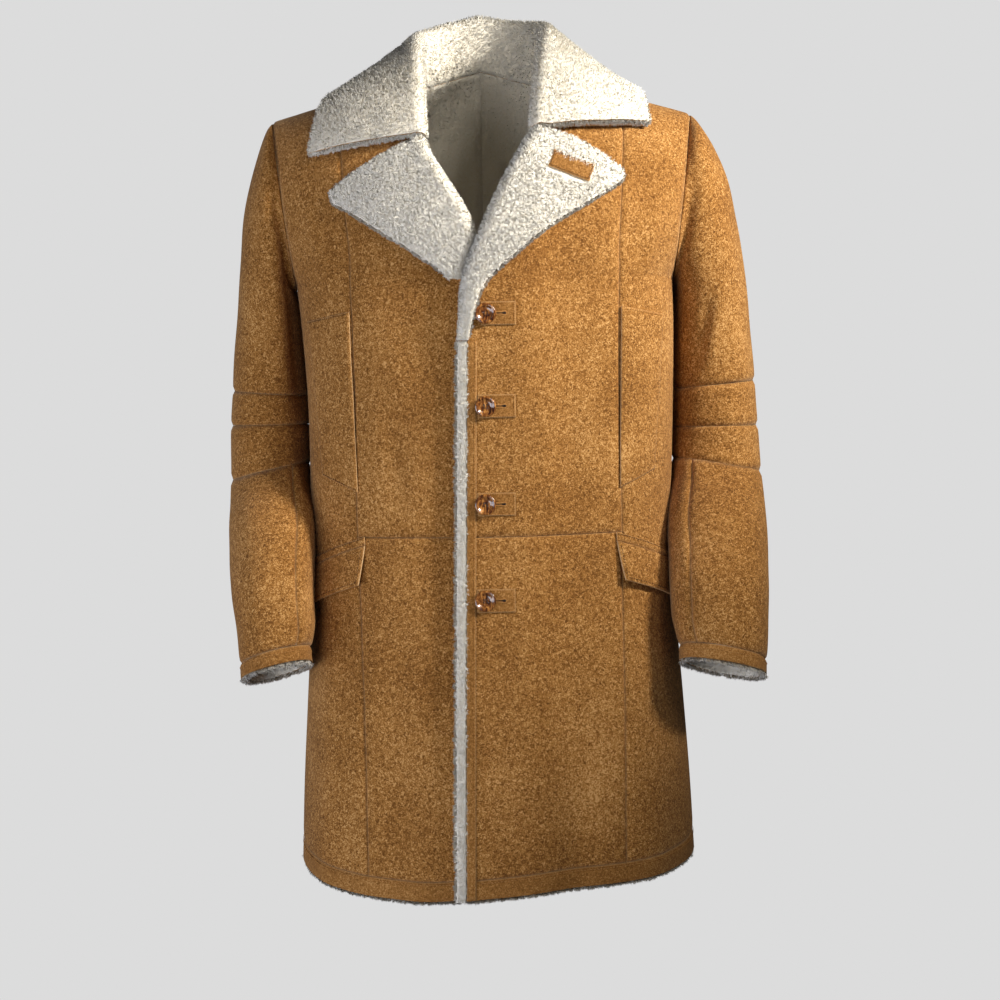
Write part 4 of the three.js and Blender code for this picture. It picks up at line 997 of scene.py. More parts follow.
def back_grid(rows, side, dome):
    """A back panel's plan angles and heights. Its first columns stop at the neck seam, as the share of the
    dome is cut to the seam's own share there."""
    neck, rest = np.linspace(0, 1, 17), shares(30, 170)[1:]
    top_x = NECK_X * np.sin(np.pi * neck / 2)
    cut = neck_up(top_x)
    top_turn = np.abs(turn_of(top_x + 1e-9, cut))
    up, k = rows[:, :1], dome[:, None]
    neck_share = mix(BACK_TURN * neck[None], top_turn[None], k)
    neck_turn = mix(BACK_TURN, abs(float(turn_of(np.array(float(NECK_X)), np.array(1.0)))), k)
    rest_share = mix(neck_turn, np.abs(side_turn(rows, side))[:, None], rest[None])
    turn = behind(side * np.concatenate([neck_share, rest_share], 1), side)
    ups = np.concatenate([up * cut[None], up + 0 * rest_share], 1)
    z = rows[:, 1:2] + rows[:, 2:3] * hem_z(turn)
    point, out = skin(ups, z, turn)
    return point, point - out * HIDE


def back(side):
    rows = whole_rows()
    dome = np.concatenate([np.zeros(len(rows) - DOME_STEPS), DOME])
    face, inside = back_grid(rows, side, dome)
    outer, inner = RIM[side]
    first = len(rows) - DOME_STEPS - 1
    ring = (-np.arange(DOME_STEPS + 1)) % len(outer)
    face[first:, -1], inside[first:, -1] = outer[ring], inner[ring]
    seams = ("first", "start", "end", "last")
    hide_piece("back", "back_panel", side, (face, inside), ("first", "last"), seams)
    GRIDS["back", side] = face, inside


HEM_STITCH_ROW = 6


def hem_band(side):
    rows = hem_rows(np.array([0, 1.1, 2.6, 5, 9, 13, 17, 18.9, HEM_BAND]))
    thirds = front_stretch(rows, side), side_stretch(rows, side), back_grid(rows, side, np.zeros(len(rows)))
    grids = [np.concatenate([a, b[:, 1:], c[:, ::-1][:, 1:]], 1) for a, b, c in zip(*thirds)]
    drawn, seams = ("last", "start", "end"), ("last", "end")
    hide_piece("hem_band", "hem_band_strip", side, grids, drawn, seams, BAND_SET)
    GRIDS["hem", side] = face, inside = grids
    sew_line(TAN, face[HEM_STITCH_ROW], unit(face[HEM_STITCH_ROW] - inside[HEM_STITCH_ROW]), 3.6, 2.6)


# Lapels and collar
def lapel(side):
    """Out of the front's edge, round a bend of 9.3 mm and flat on the front, fleece upwards."""
    table, over = LAPEL[side], side > 0
    s = shares(64, 230)[:, None]
    bend_z, edge_z = table_at(table, 1, s), table_at(table, 3, s)
    bend_x = side * (table_at(LEFT_BOUNDARY if over else RIGHT_BEND, 1, bend_z) - ROLL_GAP)
    edge_x = side * table_at(table, 2, s)
    hook = np.ones_like(s) if over else smooth(-184, -174, bend_z)
    root, out = front_skin(bend_x, bend_z, over)
    near = front_skin(mix(bend_x, edge_x, 0.2), mix(bend_z, edge_z, 0.2), over)[0] - root
    aside = unit(near - out * np.sum(near * out, -1, keepdims=True))
    centre = root + out * ROLL_INNER
    angle = (mix(-hook, 1, np.linspace(0, 1, 13)[None, :-1]) * np.pi / 2)[..., None]
    flat = (mix(0.3, 1, smooth(0, 0.22, s)) if over else 1 + 0 * s)[..., None]
    way = -aside * np.cos(angle) + out * np.sin(angle) * flat
    t = shares(34, 120, (1, 2.5))[None]
    lift = LAPEL_BOW[side] * s**6 * 4 * t * (1 - t)
    place, up = front_skin(mix(bend_x, edge_x, t), mix(bend_z, edge_z, t) + lift, over)
    puff = 1.4 * np.sin(np.pi * t) - 1.6 * t**6 + 0.5 * unrest(3 * place[..., 0], 3 * place[..., 2])
    high = ROLL_OUTER + ROLL_INNER + puff
    low = mix(2 * ROLL_INNER, 1.5, t) + 0 * puff
    face = np.concatenate([centre + way * ROLL_OUTER, place + up * high[..., None] * flat], 1)
    under = np.concatenate([centre + way * ROLL_INNER, place + up * low[..., None]], 1)
    piece = wall(named("lapel_fleece", side), face, under, WOOL_SET, roll=0)
    GRIDS["lapel", side] = face, under
    tag(piece, named("lapel", side))


def across_skin(x, across):
    """The body by distance from the middle and by place across the shoulder, front below 0."""
    up = 1 - np.abs(across)
    turn = turn_of(x, up)
    turn = np.where(across < 0, turn, behind(turn, np.where(x < 0, -1, 1)))
    return skin(up, UNDERARM_Z + 0 * up, turn)


def neck_line(side):
    """The neck seam from the middle of the back to the lapel: outer and inner points, distance from the
    middle, place across the shoulder and share of the half collar."""
    share = np.linspace(0, 1, 41)
    x = NECK_X * np.sin(np.pi * share / 2)
    up = neck_up(x)
    point, out = skin(up, UNDERARM_Z + 0 * up, np.pi * side - side * np.abs(turn_of(x + 1e-9, up)))
    gorge = upper_knots(side)[1]
    coarse = share_of_dome(np.arange(1, 12) / 11)
    knots = np.append(coarse[coarse > gorge][::-1], gorge)
    spot = np.linspace(0, len(knots) - 1, 41)[1:]
    here = np.interp(spot, np.arange(len(knots)), knots)
    rows = body_rows(here, UNDERARM_Z)
    turn = seam_turn(BOUNDARY[side], rows, side)
    front, front_out = skin(here, rows[:, 1], turn, side > 0)
    return (
        np.concatenate([point, front]),
        np.concatenate([point - out * HIDE, front - front_out * HIDE]),
        np.concatenate([x, np.abs(plain_skin(here, rows[:, 1], turn)[:, 0])]),
        np.concatenate([1 - up, here - 1]),
        np.concatenate([SHOULDER_ALONG * share, mix(SHOULDER_ALONG, 1, spot / (len(knots) - 1))]),
    )


def half_collar(side):
    """Rows from the neck seam up the stand, round the fold and down the fall to the free edge."""
    outer, inner, x, across, along = neck_line(side)
    table = COLLAR[side]
    offset = np.stack([table_at(table, column, along) for column in (1, 2, 3)], -1) * [side, 1, 1]
    fold = outer + offset
    out = unit(outer - inner)
    standing = 1 - smooth(0.7, 1, along)
    ease = mix(1, 0.2, smooth(0.46, 0.6, along))
    inward = unit(np.stack([-outer[:, 0], -outer[:, 1] * ease, 0 * along], -1))
    first = unit(mix(-out, inward, standing[:, None]))
    edge_x, edge_across = side * table_at(table, 4, along), table_at(table, 5, along)

    def fall_at(t):
        away = mix((side * x)[:, None], edge_x[:, None], t)
        place, up = across_skin(away, mix(across[:, None], edge_across[:, None], t))
        place = place + offset[:, None] * ((1 - t) ** 1.1)[..., None] + up * (COLLAR_LIFT * t)[..., None]
        return place, up

    fall = unit(fall_at(np.array([[0.25]]))[0][:, 0] - fold)
    top = across_skin(edge_x, edge_across)[1]
    last = unit(top - fall * np.sum(top * fall, -1, keepdims=True))
    middle = unit(-fall + np.stack([0 * along, 0 * along, 0.8 * standing], -1))
    high = ROLL_INNER + COLLAR_THICK
    t = np.linspace(0, 2, 19)[None, :, None]
    below = mix(first[:, None], middle[:, None], np.minimum(t, 1))
    way = unit(np.where(t < 1, below, mix(middle[:, None], last[:, None], t - 1)))
    bend_face, bend_under = fold[:, None] + way * high, fold[:, None] + way * ROLL_INNER
    seat_face, seat_under = inner.copy(), outer.copy()
    seat_face += unit(bend_face[:, 0] - seat_face) * 0.7
    seat_under += unit(bend_under[:, 0] - seat_under) * 0.7
    rise = np.linspace(0, 1, 9)[None, :-1, None]
    t = shares(30, 110, (1, 2.5))[None, 1:]
    place, up = fall_at(t)
    way = unit(mix(last[:, None], up, t[..., None]))
    puff = 1.2 * np.sin(np.pi * t) - 1.6 * t**6 + 0.5 * unrest(3 * place[..., 0], 3 * place[..., 2])
    stand_face = mix(seat_face[:, None], bend_face[:, :1], rise)
    stand_under = mix(seat_under[:, None], bend_under[:, :1], rise)
    fall_face = place + way * (high + puff)[..., None]
    fall_under = place + way * (ROLL_INNER * (1 - t))[..., None]
    return (
        np.concatenate([stand_face, bend_face, fall_face], 1),
        np.concatenate([stand_under, bend_under, fall_under], 1),
    )


def collar():
    left, right = half_collar(1), half_collar(-1)
    face, under = (np.concatenate([b[1:][::-1], a]) for a, b in zip(left, right))
    piece = wall("collar_fleece", face, under, WOOL_SET, roll=0)
    GRIDS["collar", 0] = face, under
    tag(piece, "collar")


# Sleeves
RING_STEPS = 9
ARMHOLE_GAP = 0.3


def sleeve_coarse(side):
    """Rings of the sleeve, from the armhole's rim. Each is a superellipse between its two ends, leaning
    with its rise. Points start at the body, go by the front to the outside and come back behind."""
    deepen, lift_low, band_lift = SLEEVE_OWN[side]
    outer, _ = RIM[side]
    count = len(outer)
    angle = 2 * np.pi * np.arange(count) / count
    n = np.arange(len(SLEEVE))
    in_z, out_z, middle_y, half_deep, rise = SLEEVE.T
    low = smooth(BAND_TOP, CUFF_SEAM - 1, n)
    lift = lift_low * low + np.where(n == BAND_MIDDLE, band_lift, 0)
    in_x, out_x = np.array(SLEEVE_IN[side]), np.array(SLEEVE_OUT[side])
    middle = np.stack([(in_x + out_x) / 2, middle_y, (in_z + out_z) / 2 + lift], -1)
    half = np.stack([(out_x - in_x) / 2, 0 * n, (out_z - in_z) / 2], -1)
    fore = np.stack([0 * n, -(half_deep + deepen * low), rise], -1)
    across = signed_power(np.cos(angle), 2 / SLEEVE_POWER)[None, :, None]
    ahead = signed_power(np.sin(angle), 2 / SLEEVE_POWER)[None, :, None]
    rings = middle[:, None] - half[:, None] * across + fore[:, None] * ahead
    rings[..., 0] *= side
    return np.concatenate([(outer + [side * ARMHOLE_GAP, 0, 0])[None], rings])


def refine(grid, steps):
    """A smooth curve through the rows of a grid, with mean slopes at each row."""
    slope = np.gradient(grid, axis=0)
    t = (np.arange(steps) / steps)[None, :, None, None]
    made = curve(grid[:-1, None], slope[:-1, None], grid[1:, None], slope[1:, None], t)
    return np.concatenate([made.reshape(-1, *grid.shape[1:]), grid[-1:]])


def sleeve_grids(side):
    """The whole sleeve as an outer and an inner grid, with its creases."""
    fine = refine(sleeve_coarse(side), RING_STEPS)
    down = np.gradient(fine, axis=0)
    around = np.roll(fine, -1, 1) - np.roll(fine, 1, 1)
    out = unit(np.cross(around, down)) * side
    x, y, z = fine[..., 0], fine[..., 1], fine[..., 2]
    middle = fine.mean(1, keepdims=True)
    out = np.where(np.sum(out * (fine - middle), -1, keepdims=True) < 0, -out, out)
    facing = smooth(-0.1, 0.5, -out[..., 1])
    free = smooth(0, 14, np.arange(len(fine)))[:, None]
    push = fold_push(SLEEVE_FOLDS[side], x, z) * facing + 0.9 * unrest(x + y, z + 0.5 * y)
    elbow = smooth(-330, -380, z) * smooth(-560, -480, z) * smooth(0.1, 0.7, out[..., 1])
    push = push + elbow * 1.5 * np.sin(z / 7 + x / 60)
    towards = smooth(0.1, 0.8, -out[..., 0] * side) * smooth(-450, -500, z) * smooth(-650, -605, z)
    outer = fine + out * (push * free)[..., None] - [side * CLOSER, 0, 0] * towards[..., None]
    inner = fine - out * SLEEVE_HIDE - [side * CLOSER, 0, 0] * towards[..., None]
    rim_inner = RIM[side][1] + [side * ARMHOLE_GAP, 0, 0]
    blend = (1 - smooth(0, RING_STEPS, np.arange(len(fine))))[:, None, None]
    return outer, mix(inner, rim_inner[None], blend)


def sleeve(side):
    outer, inner = sleeve_grids(side)

    def rows(first, last):
        low, high = (first + 1) * RING_STEPS, (last + 1) * RING_STEPS + 1
        return outer[low:high].copy(), inner[low:high].copy()

    both = ("first", "last")
    for stem, first, last, seams, materials, slot_name in (
        ("sleeve_upper", -1, BAND_TOP, both, HIDE_SET, "suede"),
        ("elbow_band_upper", BAND_TOP, BAND_MIDDLE, both, HIDE_SET, "suede"),
        ("elbow_band_lower", BAND_MIDDLE, BAND_BOTTOM, both, HIDE_SET, "suede"),
        ("cuff_band", CUFF_SEAM, CUFF_END, ("first",), BAND_SET, "pressed_suede"),
    ):
        face, inside = rows(first, last)
        draw_in(face, inside, tuple(s for s in seams if first >= 0 or s == "last"))
        piece = wall(named(stem + "_tube", side), face, inside, materials, seams, tube=True)
        tag(piece, named(stem, side))
        GRIDS[stem, side] = face, inside
    sew_line(TAN, face[2], unit(face[2] - inside[2]), 3.4, 2.5)
    face, inside = rows(BAND_BOTTOM, CUFF_SEAM)
    count = face.shape[1]
    seam = round(3 * count / 22)
    for stem, columns in (
        ("forearm_top", np.arange(seam, count - seam + 1)),
        ("forearm_under", np.arange(-seam, seam + 1) % count),
    ):
        grids = face[:, columns].copy(), inside[:, columns].copy()
        hide_piece(stem, stem + "_panel", side, grids, ALL_SIDES, ALL_SIDES)


# What lies on the panels
ENDS = (1.1, 2.6, 5)


def laid(
    name, materials, size, counts, place, seat, thick, ends=ENDS, roll=0.9, sewn=(), colour=TAN, pitch=3.4
):
    """A thin piece on the body: place gives points and directions for shares u across and v down, and it
    lies between seat and seat + thick, rounded at its edges. sewn gives its lines of stitches: the side and
    how far in from it."""
    (wide, high), (columns, rows) = size, counts
    u, v = np.meshgrid(shares(columns, wide, ends), shares(rows, high, ends))

    def surface(u, v, over):
        point, out = place(u, v)
        low = np.broadcast_to(seat(u, v) if callable(seat) else seat, u.shape)[..., None]
        return point + out * (low + over), out

    run = np.linspace(0, 1, 60)
    for side, inset in sewn:
        across, down = inset / wide, inset / high
        line_u = {"start": across, "end": 1 - across}.get(side, mix(across, 1 - across, run))
        line_v = {"top": down, "bottom": 1 - down}.get(side, mix(down, 1 - down, run))
        points, out = surface(line_u + 0 * run, line_v + 0 * run, thick)
        sew_line(colour, points, out, pitch, 0.72 * pitch)
    return wall(name, surface(u, v, thick)[0], surface(u, v, 0)[0], materials, ALL_SIDES, roll=roll)


def chest_pocket(side):
    (ax, az), (bx, bz), (cx, cz), (dx, dz) = CHEST_POCKET

    def place(u, v):
        x = mix(mix(ax, bx, u), mix(dx, cx, u), v)
        z = mix(mix(az, bz, u), mix(dz, cz, u), v)
        return front_skin(side * x, z, side > 0)

    piece = laid(
        named("chest_pocket_panel", side), [SUEDE, CUT, CUT], (46, 185), (12, 40), place, SEAT,
        CHEST_POCKET_THICK, sewn=(("top", 2.2), ("bottom", 2.2)), colour=BROWN if side < 0 else TAN,
    )
    return tag(piece, named("chest_pocket", side))


def on_side(turn, z, side):
    return skin(0 * z, z, side * turn, side > 0)


def flap(side):
    def place(u, v):
        turn = mix(*FLAP_TURNS, u) + 0.03 * v * (1 - u)
        return on_side(turn, mix(*FLAP_TOP, u) - FLAP_DEEP * v, side)

    def stand(u, v):
        return SEAT + FLAP_STAND * (1 - 0.6 * u) * v**1.5

    piece = laid(
        named("pocket_flap_panel", side), [SUEDE, CUT, CUT], (165, 43), (30, 12), place, stand, FLAP_THICK,
        sewn=(("start", 4), ("bottom", 4)), colour=BROWN,
    )
    return tag(piece, named("pocket_flap", side))


def welt(side):
    def place(u, v):
        return on_side(mix(*FLAP_TURNS, u), mix(*FLAP_TOP, u) + 0.6 + WELT_WIDE * (1 - v), side)

    piece = laid(
        named("flap_welt_strip", side), [SUEDE, CUT, CUT], (165, 9), (30, 3), place, SEAT, WELT_THICK,
        (0.8, 1.8), sewn=(("top", 1.6),), colour=BROWN,
    )
    return tag(piece, named("flap_welt", side))


def button_x(z):
    return -3 + 0.021 * (z + 430)


def patch(z, n):
    band_x = table_at(LEFT_BOUNDARY, 1, z + PATCH_HIGH / 2) + EDGE_BAND + 1.2
    left = max(button_x(z) + PATCH_LEFT, band_x)
    right = button_x(z) + PATCH_LEFT + PATCH_WIDE

    def place(u, v):
        return front_skin(mix(left, right, u), z + PATCH_HIGH * (0.5 - v), True)

    piece = laid(
        f"buttonhole_patch_{n + 1}_leather", [PRESSED, PRESSED, PRESSED], (right - left, PATCH_HIGH),
        (16, 10), place, SEAT, PATCH_THICK, (0.8, 2), 0.4, (("top", 1.5), ("bottom", 1.5), ("end", 1.5)),
        TAN, 2.6,
    )
    buttonhole(z, n)
    return tag(piece, f"buttonhole_patch_{n + 1}")


HOLE_START, HOLE_LONG = 9.5, 12.5
# Shares of the slit's length at which its wide end begins, is full and closes round.
HOLE_EYE, HOLE_FULL, HOLE_ROUND = 0.55, 0.85, 0.86


def buttonhole(z, n):
    """A slit from under the button to its open side, whipped round with close stitches. The opening is a
    near-black sheet of painted shadow.
    """
    x = button_x(z) + HOLE_START
    t = np.linspace(0, 1, 25)[None, :]
    v = np.linspace(-1, 1, 5)[:, None]
    closing = np.sqrt(np.maximum(0, 1 - ((t - HOLE_ROUND) / 0.14) ** 2 * (t > HOLE_ROUND)))
    half = 0.35 + 0.75 * smooth(HOLE_EYE, HOLE_FULL, t) * closing
    point, out = front_skin(x + HOLE_LONG * t + 0 * v, z + half * v, True)
    over = SEAT + PATCH_THICK + 0.05
    # A near-black sheet 0.12 mm thick over the patch: painted shadow inside the open slit.
    wall(f"buttonhole_slit_shadow_{n + 1}", point + out * (over + 0.12), point + out * over, [SLIT_SHADOW], roll=0)
    step = np.linspace(0, HOLE_ROUND, 12)
    for way in (-1, 1):
        gap = 0.55 + 0.75 * smooth(HOLE_EYE, HOLE_FULL, step) + 0.75
        point, out = front_skin(x + HOLE_LONG * step, z + way * gap, True)
        sew(TAN, point + out * over, np.array([0, 0, 1.0]), out, 1.7, 0.34)
    turn = np.linspace(-1.2, 1.2, 6)
    end = x + HOLE_ROUND * HOLE_LONG
    point, out = front_skin(end + 2.2 * np.cos(turn), z + 2.0 * np.sin(turn), True)
    sew(TAN, point + out * over, np.stack([np.cos(turn), 0 * turn, np.sin(turn)], -1), out, 1.7, 0.34)


# Radius and height of a button's raised rim, from its inside to its back.
BUTTON_RIM = [
    [5.4, 2.6], [6.4, 2.75], [7.2, 3.1], [7.9, 3.7], [8.6, 4.3], [9.2, 4.6], [9.9, 4.7], [10.6, 4.5],
    [11.1, 4.0], [11.4, 3.2], [11.5, 2.3], [11.2, 1.4], [10.6, 0.8], [9.6, 0.3], [8.6, 0.05],
]


BUTTON_FLAT, BUTTON_MIDDLE = 5.2, 2.5
PIT_PLACE, PIT_RADIUS, PIT_DEEP = 2.4, 0.85, 2.0


def button(z, n):
    """A turned disc: the profile carried round its axis. Four pits 2.2 mm wide are sunk round the middle
    by 2 mm times exp(-(r/0.85)^6)."""
    middle = np.stack([np.linspace(0.01, BUTTON_FLAT, 18), np.full(18, BUTTON_MIDDLE)], -1)
    rings = np.vstack([middle, BUTTON_RIM, [[0.01, 0]]])
    angle = np.linspace(0, 2 * np.pi, 72, endpoint=False)
    r, h = rings[:, :1], rings[:, 1:]
    a, b = r * np.cos(angle), r * np.sin(angle)
    height = h + 0 * a
    for k in range(4):
        turn = np.pi / 2 * (k + 0.5)
        gap = np.hypot(a - PIT_PLACE * math.cos(turn), b - PIT_PLACE * math.sin(turn))
        height = np.where(h > 1, height - PIT_DEEP * np.exp(-((gap / PIT_RADIUS) ** 6)), height)
    point, out = front_skin(np.array(button_x(z)), np.array(float(z)), True)
    seat = SEAT + PATCH_THICK + 0.3
    side_way = unit(np.cross([0, 0, 1.0], out))
    up_way = np.cross(out, side_way)
    places = point + side_way * a[..., None] + up_way * b[..., None] + out * (height + seat)[..., None]
    for way in (-1, 1):
        hole = point + side_way * way * 1.7 + out * (seat + 2.3)
        sew(BROWN, np.stack([hole, hole + side_way * 0.45]), up_way, out, 4.0, 0.34)
    points = places.reshape(-1, 3)
    faces = facing_out(points, quads(ring_grid(*a.shape))[:, [0, 3, 2, 1]])
    piece = mesh_object(f"button_{n + 1}_horn", points, faces, [HORN])
    return tag(piece, f"button_{n + 1}")


def label():
    seat = ROLL_OUTER + ROLL_INNER + 1.4 + SEAT

    def place(u, v):
        a, b = (u - 0.5) * LABEL_WIDE, (0.5 - v) * LABEL_HIGH
        x = LABEL_X + a * math.cos(LABEL_TURN) - b * math.sin(LABEL_TURN)
        z = LABEL_Z + a * math.sin(LABEL_TURN) + b * math.cos(LABEL_TURN)
        return front_skin(x, z, True)

    border = (("top", 1.7), ("bottom", 1.7), ("start", 1.7), ("end", 1.7))
    piece = laid(
        "lapel_tab_leather", [PRESSED, CUT, CUT], (LABEL_WIDE, LABEL_HIGH), (16, 8), place, seat, LABEL_THICK,
        (0.8, 2), 0.5, border, BROWN, 2.6,
    )
    return tag(piece, "lapel_tab")


def closing_rows():
    skirt = skirt_rows(np.linspace(0, 1, 90))
    chest = chest_rows(58)
    chest = chest[(chest[:, 1] > WAIST_Z + 1) & (chest[:, 1] < CLOSING_TOP_Z - 2)]
    return np.vstack([hem_rows(np.array([0.0, 6, 13])), skirt, chest, [[0, CLOSING_TOP_Z, 0]]])


def edge_strip(name, rows, offsets, high, low, materials, seams=(), roll=0.5):
    """A strip along the closing edge: offsets from the edge in millimetres, with an upper and a lower face
    at heights over the skin. Gives the strip and both faces."""
    z = rows[:, 1] + rows[:, 2] * hem_z(0.0)
    edge = crossing(LEFT_BOUNDARY, rows[:, 0], z, 1)[:, None]
    x = edge + offsets[None]
    turn = turn_of(x, 0.0, z[:, None] + 0 * x)
    point, out = skin(0 * x, rows[:, 1:2] + rows[:, 2:3] * hem_z(turn), turn, True)
    grids = [point + out * np.asarray(over)[None, :, None] for over in (high, low)]
    return wall(name, *grids, materials, seams, roll=roll), grids


def edge_pieces():
    rows = closing_rows()
    u = 0.4 + EDGE_BAND * np.array([0, 0.08, 0.2, 0.4, 0.6, 0.8, 0.92, 1])
    band, (high, low) = edge_strip(
        "front_edge_band_strip", rows, u, np.full(8, SEAT + 1.0), np.full(8, SEAT), BAND_SET, ("start", "end")
    )
    tag(band, "front_edge_band")
    sew_line(TAN, high[:, 5], unit(high[:, 5] - low[:, 5]), 3.6, 2.6)
    t = np.array([-10, -8.8, -7.5, -5.5, -3.5, -2, -0.4])
    fleece_strip, grids = edge_strip(
        "front_edge_fleece_strip", rows, t, [-3.2, -1.8, -1.2, -0.8, -0.6, -0.6, -0.8],
        [-5.4, -6.6, -7, -7.3, -7.6, -7.7, -7.8], [FLEECE, FLEECE, FLEECE], roll=0,
    )
    tag(fleece_strip, "front_edge_fleece")
    GRIDS["edge", 0] = grids


for side in (1, -1):
    front_upper(side)
    front_skirt(side)
    side_front(side)
    back(side)
    hem_band(side)
    lapel(side)
    chest_pocket(side)
    flap(side)
    welt(side)
    sleeve(side)
collar()
edge_pieces()
label()
for n, z in enumerate(BUTTON_Z):
    patch(z, n)
    button(z, n)
stitches("tan_stitches", TAN, TAN_THREAD)
stitches("brown_stitches", BROWN, BROWN_THREAD)


# The wool that shows
def free_edge(outer, inner, way):
    """A narrow grid along an edge, half way through the wall, for blades that stand out past it."""
    low, high = mix(inner, outer, 0.35), mix(inner, outer, 0.95)
    surface = np.stack([low, high], 0)
    return surface, surface - way[None]


def grow(name, seed, patches, length, width, growth=None, bare=None, **shape):
    """Wool on several grids: (outer, inner, count, keep). growth gives the share of the full length along
    the rows, and bare tells which points have none."""
    random = np.random.default_rng(seed)
    places = []
    for outer, inner, count, keep in patches:
        *spots, share = spread(outer, inner, count, random, keep)
        spots.append(growth(share) if growth else np.ones(count))
        if bare:
            spots = [part[~bare(spots[0])] for part in spots]
        places.append(spots)
    return wool(name, places, length, width, random, **shape)


def under_tab(point):
    """True under the leather tab on the left lapel."""
    dx, dz = point[:, 0] - LABEL_X, point[:, 2] - LABEL_Z
    across = dx * math.cos(LABEL_TURN) + dz * math.sin(LABEL_TURN)
    down = dz * math.cos(LABEL_TURN) - dx * math.sin(LABEL_TURN)
    return (np.abs(across) < LABEL_WIDE / 2) & (np.abs(down) < LABEL_HIGH / 2)


face, under = GRIDS["collar", 0]
tip_way = unit(face[:, -1] - face[:, -3])
front_way_a, front_way_b = unit(face[-1] - face[-3]), unit(face[0] - face[2])
grow(
    "collar_wool", 11,
    [
        (face, under, 74000, None),
        (*free_edge(face[:, -1], under[:, -1], tip_way), 8000, None),
        (*free_edge(face[-1], under[-1], front_way_a), 2500, None),
        (*free_edge(face[0], under[0], front_way_b), 2500, None),
    ],
    4.6, 0.8,
)
for side in (1, -1):
    face, under = GRIDS["lapel", side]
    edge_way = unit(face[:, -1] - face[:, -3])
    top_way = unit(face[-1] - face[-3])
    grow(
        named("lapel_wool", side), 20 + side,
        [
            (face, under, 41500, None),
            (*free_edge(face[:, -1], under[:, -1], edge_way), 5500, None),
            (*free_edge(face[-1], under[-1], top_way), 2200, None),
        ],
        4.4, 0.8, lambda s: 0.55 + 0.45 * smooth(0.02, 0.3, s) if side > 0 else 0.6 + 0.4 * smooth(0, 0.1, s),
        under_tab if side > 0 else None,
    )
    face, under = GRIDS["hem", side]
    grow(
        named("hem_wool", side), 30 + side,
        [(*free_edge(mix(under[0], face[0], 0.75), under[0], unit(face[0] - face[2])), 14000, None)],
        5.0, 0.7,
    )
    face, under = GRIDS["cuff_band", side]
    face, under = (np.concatenate([grid, grid[:, :1]], 1) for grid in (face, under))
    rim = free_edge(mix(under[-1], face[-1], 0.8), under[-1], unit(face[-1] - face[-3]))
    grow(named("cuff_wool", side), 40 + side, [(*rim, 7000, None), (under, face, 6500, None)], 5.5, 0.7)
    face, under = GRIDS["back", side]
    keep = (whole_rows()[:-1, :1] > 0.05) * np.ones((1, face.shape[1] - 1))
    grow(named("neck_lining_wool", side), 60 + side, [(under, face, 17000, keep)], 5.5, 0.8)
face, under = GRIDS["edge", 0]
edge_way = unit(face[:, 0] - face[:, 2])
grow(
    "front_edge_wool", 50,
    [(face, under, 14000, None), (*free_edge(face[:, 0], under[:, 0], edge_way), 10000, None)],
    5.2, 0.6,
)

# What each piece was cut to
# Width and length in metres, flat area in square metres, how it is held, what it lies on and its wool.
# Each left piece is followed by the right one where the two differ.
PANEL_CUTS = {
    "front_upper_panel": ((0.178, 0.614, 0.0821), (0.18, 0.617, 0.0798), "hung", None, None),
    "front_skirt_panel": ((0.179, 0.363, 0.0638), (0.174, 0.367, 0.0605), "hung", None, None),
    "side_front_panel": ((0.182, 0.909, 0.1175), (0.177, 0.918, 0.115), "hung", None, None),
    "back_panel": ((0.309, 0.924, 0.2424), (0.305, 0.924, 0.2397), "hung", None, "neck_lining_wool"),
    "hem_band_strip": ((0.676, 0.0205, 0.0135), (0.648, 0.0205, 0.013), "hung", None, "hem_wool"),
    "lapel_fleece": (
        (0.132, 0.27, 0.0196), (0.141, 0.176, 0.0157), "folded", "front_upper_panel", "lapel_wool"
    ),
    "chest_pocket_panel": ((0.07, 0.198, 0.011), (0.073, 0.198, 0.0119), "laid", "side_front_panel", None),
    "pocket_flap_panel": ((0.134, 0.044, 0.0055), (0.133, 0.044, 0.0054), "laid", "side_front_panel", None),
    "flap_welt_strip": ((0.132, 0.01, 0.0012), (0.131, 0.01, 0.0012), "laid", "side_front_panel", None),
    "sleeve_upper_tube": ((0.499, 0.324, 0.0848), (0.495, 0.318, 0.0795), "hung", None, None),
    "elbow_band_upper_tube": ((0.359, 0.053, 0.0174), (0.346, 0.042, 0.0128), "hung", None, None),
    "elbow_band_lower_tube": ((0.358, 0.057, 0.0163), (0.348, 0.066, 0.019), "hung", None, None),
    "forearm_top_panel": ((0.26, 0.243, 0.0569), (0.247, 0.237, 0.0525), "hung", None, None),
    "forearm_under_panel": ((0.1, 0.24, 0.0213), (0.103, 0.235, 0.0217), "hung", None, None),
    "cuff_band_tube": ((0.321, 0.0175, 0.0052), (0.314, 0.0175, 0.0051), "hung", None, "cuff_wool"),
}
for stem, (left_cut, right_cut, held, under_it, wool_on_it) in PANEL_CUTS.items():
    for side, (wide, long, area) in ((1, left_cut), (-1, right_cut)):
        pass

# Stage and light
scene = bpy.context.scene
scene.view_settings.view_transform = "Standard"
scene.view_settings.look = "None"


def stage_material():
    made, tree = new_material("studio_paper")
    shader = node(tree, "ShaderNodeEmission", sockets={"Color": linear("dcdcdc"), "Strength": 1.0})
    node(tree, "ShaderNodeOutputMaterial", links=[("Surface", shader, "Emission")])
    return made


FLOOR_Z, WALL_Y, SWEEP_RADIUS = -1450, 3500, 900


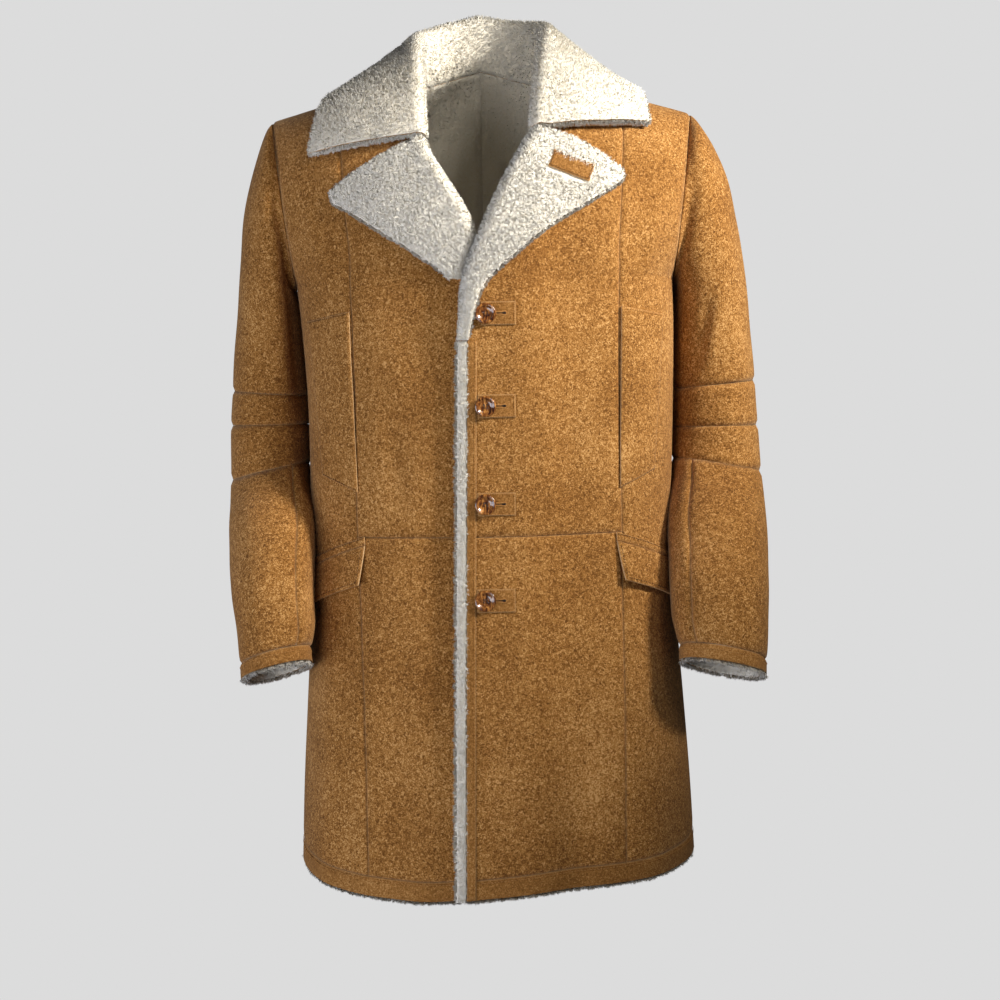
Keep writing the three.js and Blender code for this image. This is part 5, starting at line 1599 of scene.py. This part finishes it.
def sweep():
    """Seamless paper: a floor 1.45 m under the shoulders that turns up into a wall behind, on a quarter
    circle of 0.9 m."""
    angle = np.linspace(0, np.pi / 2, 24)
    y = np.concatenate([[-6000], WALL_Y - SWEEP_RADIUS * (1 - np.sin(angle)), [WALL_Y]])
    z = np.concatenate([[FLOOR_Z], FLOOR_Z + SWEEP_RADIUS * (1 - np.cos(angle)), [5200]])
    x = np.array([-7000, 7000.0])
    points = np.stack([x[None] + 0 * y[:, None], y[:, None] + 0 * x[None], z[:, None] + 0 * x[None]], -1)
    faces = quads(np.arange(points.shape[0] * 2).reshape(-1, 2))
    mesh = bpy.data.meshes.new("studio_sweep")
    mesh.from_pydata((points.reshape(-1, 3) * MM).tolist(), [], faces.tolist())
    mesh.polygons.foreach_set("use_smooth", np.ones(len(faces), bool))
    mesh.materials.append(stage_material())
    made = bpy.data.objects.new("studio_sweep", mesh)
    made.visible_diffuse = made.visible_glossy = False
    scene.collection.objects.link(made)


def lamp(name, place, aim, size, power, code, cone=None):
    """A soft light that looks from its place at a point: a square, or a spot with a cone in degrees that
    fades out to its edge."""
    data = bpy.data.lights.new(name, "SPOT" if cone else "AREA")
    if cone:
        data.shadow_soft_size, data.spot_size, data.spot_blend = size, math.radians(cone), 1.0
    else:
        data.shape, data.size = "SQUARE", size
    data.energy = power
    data.color = linear(code)[:3]
    made = bpy.data.objects.new(name, data)
    made.location = place
    way = np.array(aim, float) - np.array(place, float)
    flat = math.hypot(way[0], way[1])
    made.rotation_euler = (math.atan2(flat, -way[2]), 0, math.atan2(-way[0], way[1]))
    scene.collection.objects.link(made)


sweep()
world = bpy.data.worlds.new("studio")
scene.world = world
world.use_nodes = True
world.node_tree.nodes["Background"].inputs["Color"].default_value = linear("ffffff")
world.node_tree.nodes["Background"].inputs["Strength"].default_value = 0.07
lamp("side_key", (1.8, -1.0, 0.75), (0.24, -0.1, -0.07), 0.25, 390, "fffaf0", 34)
lamp("front_key", (1.2, -1.9, 1.0), (0.12, -0.1, -0.08), 0.3, 60, "fffaf0", 34)
lamp("side_fill", (-1.9, -1.1, -0.9), (-0.1, -0.1, -0.6), 1.2, 21, "eef1ff")
lamp("low_fill", (-0.9, -2.0, -1.0), (-0.1, -0.1, -0.5), 1.0, 16, "f6f8ff")
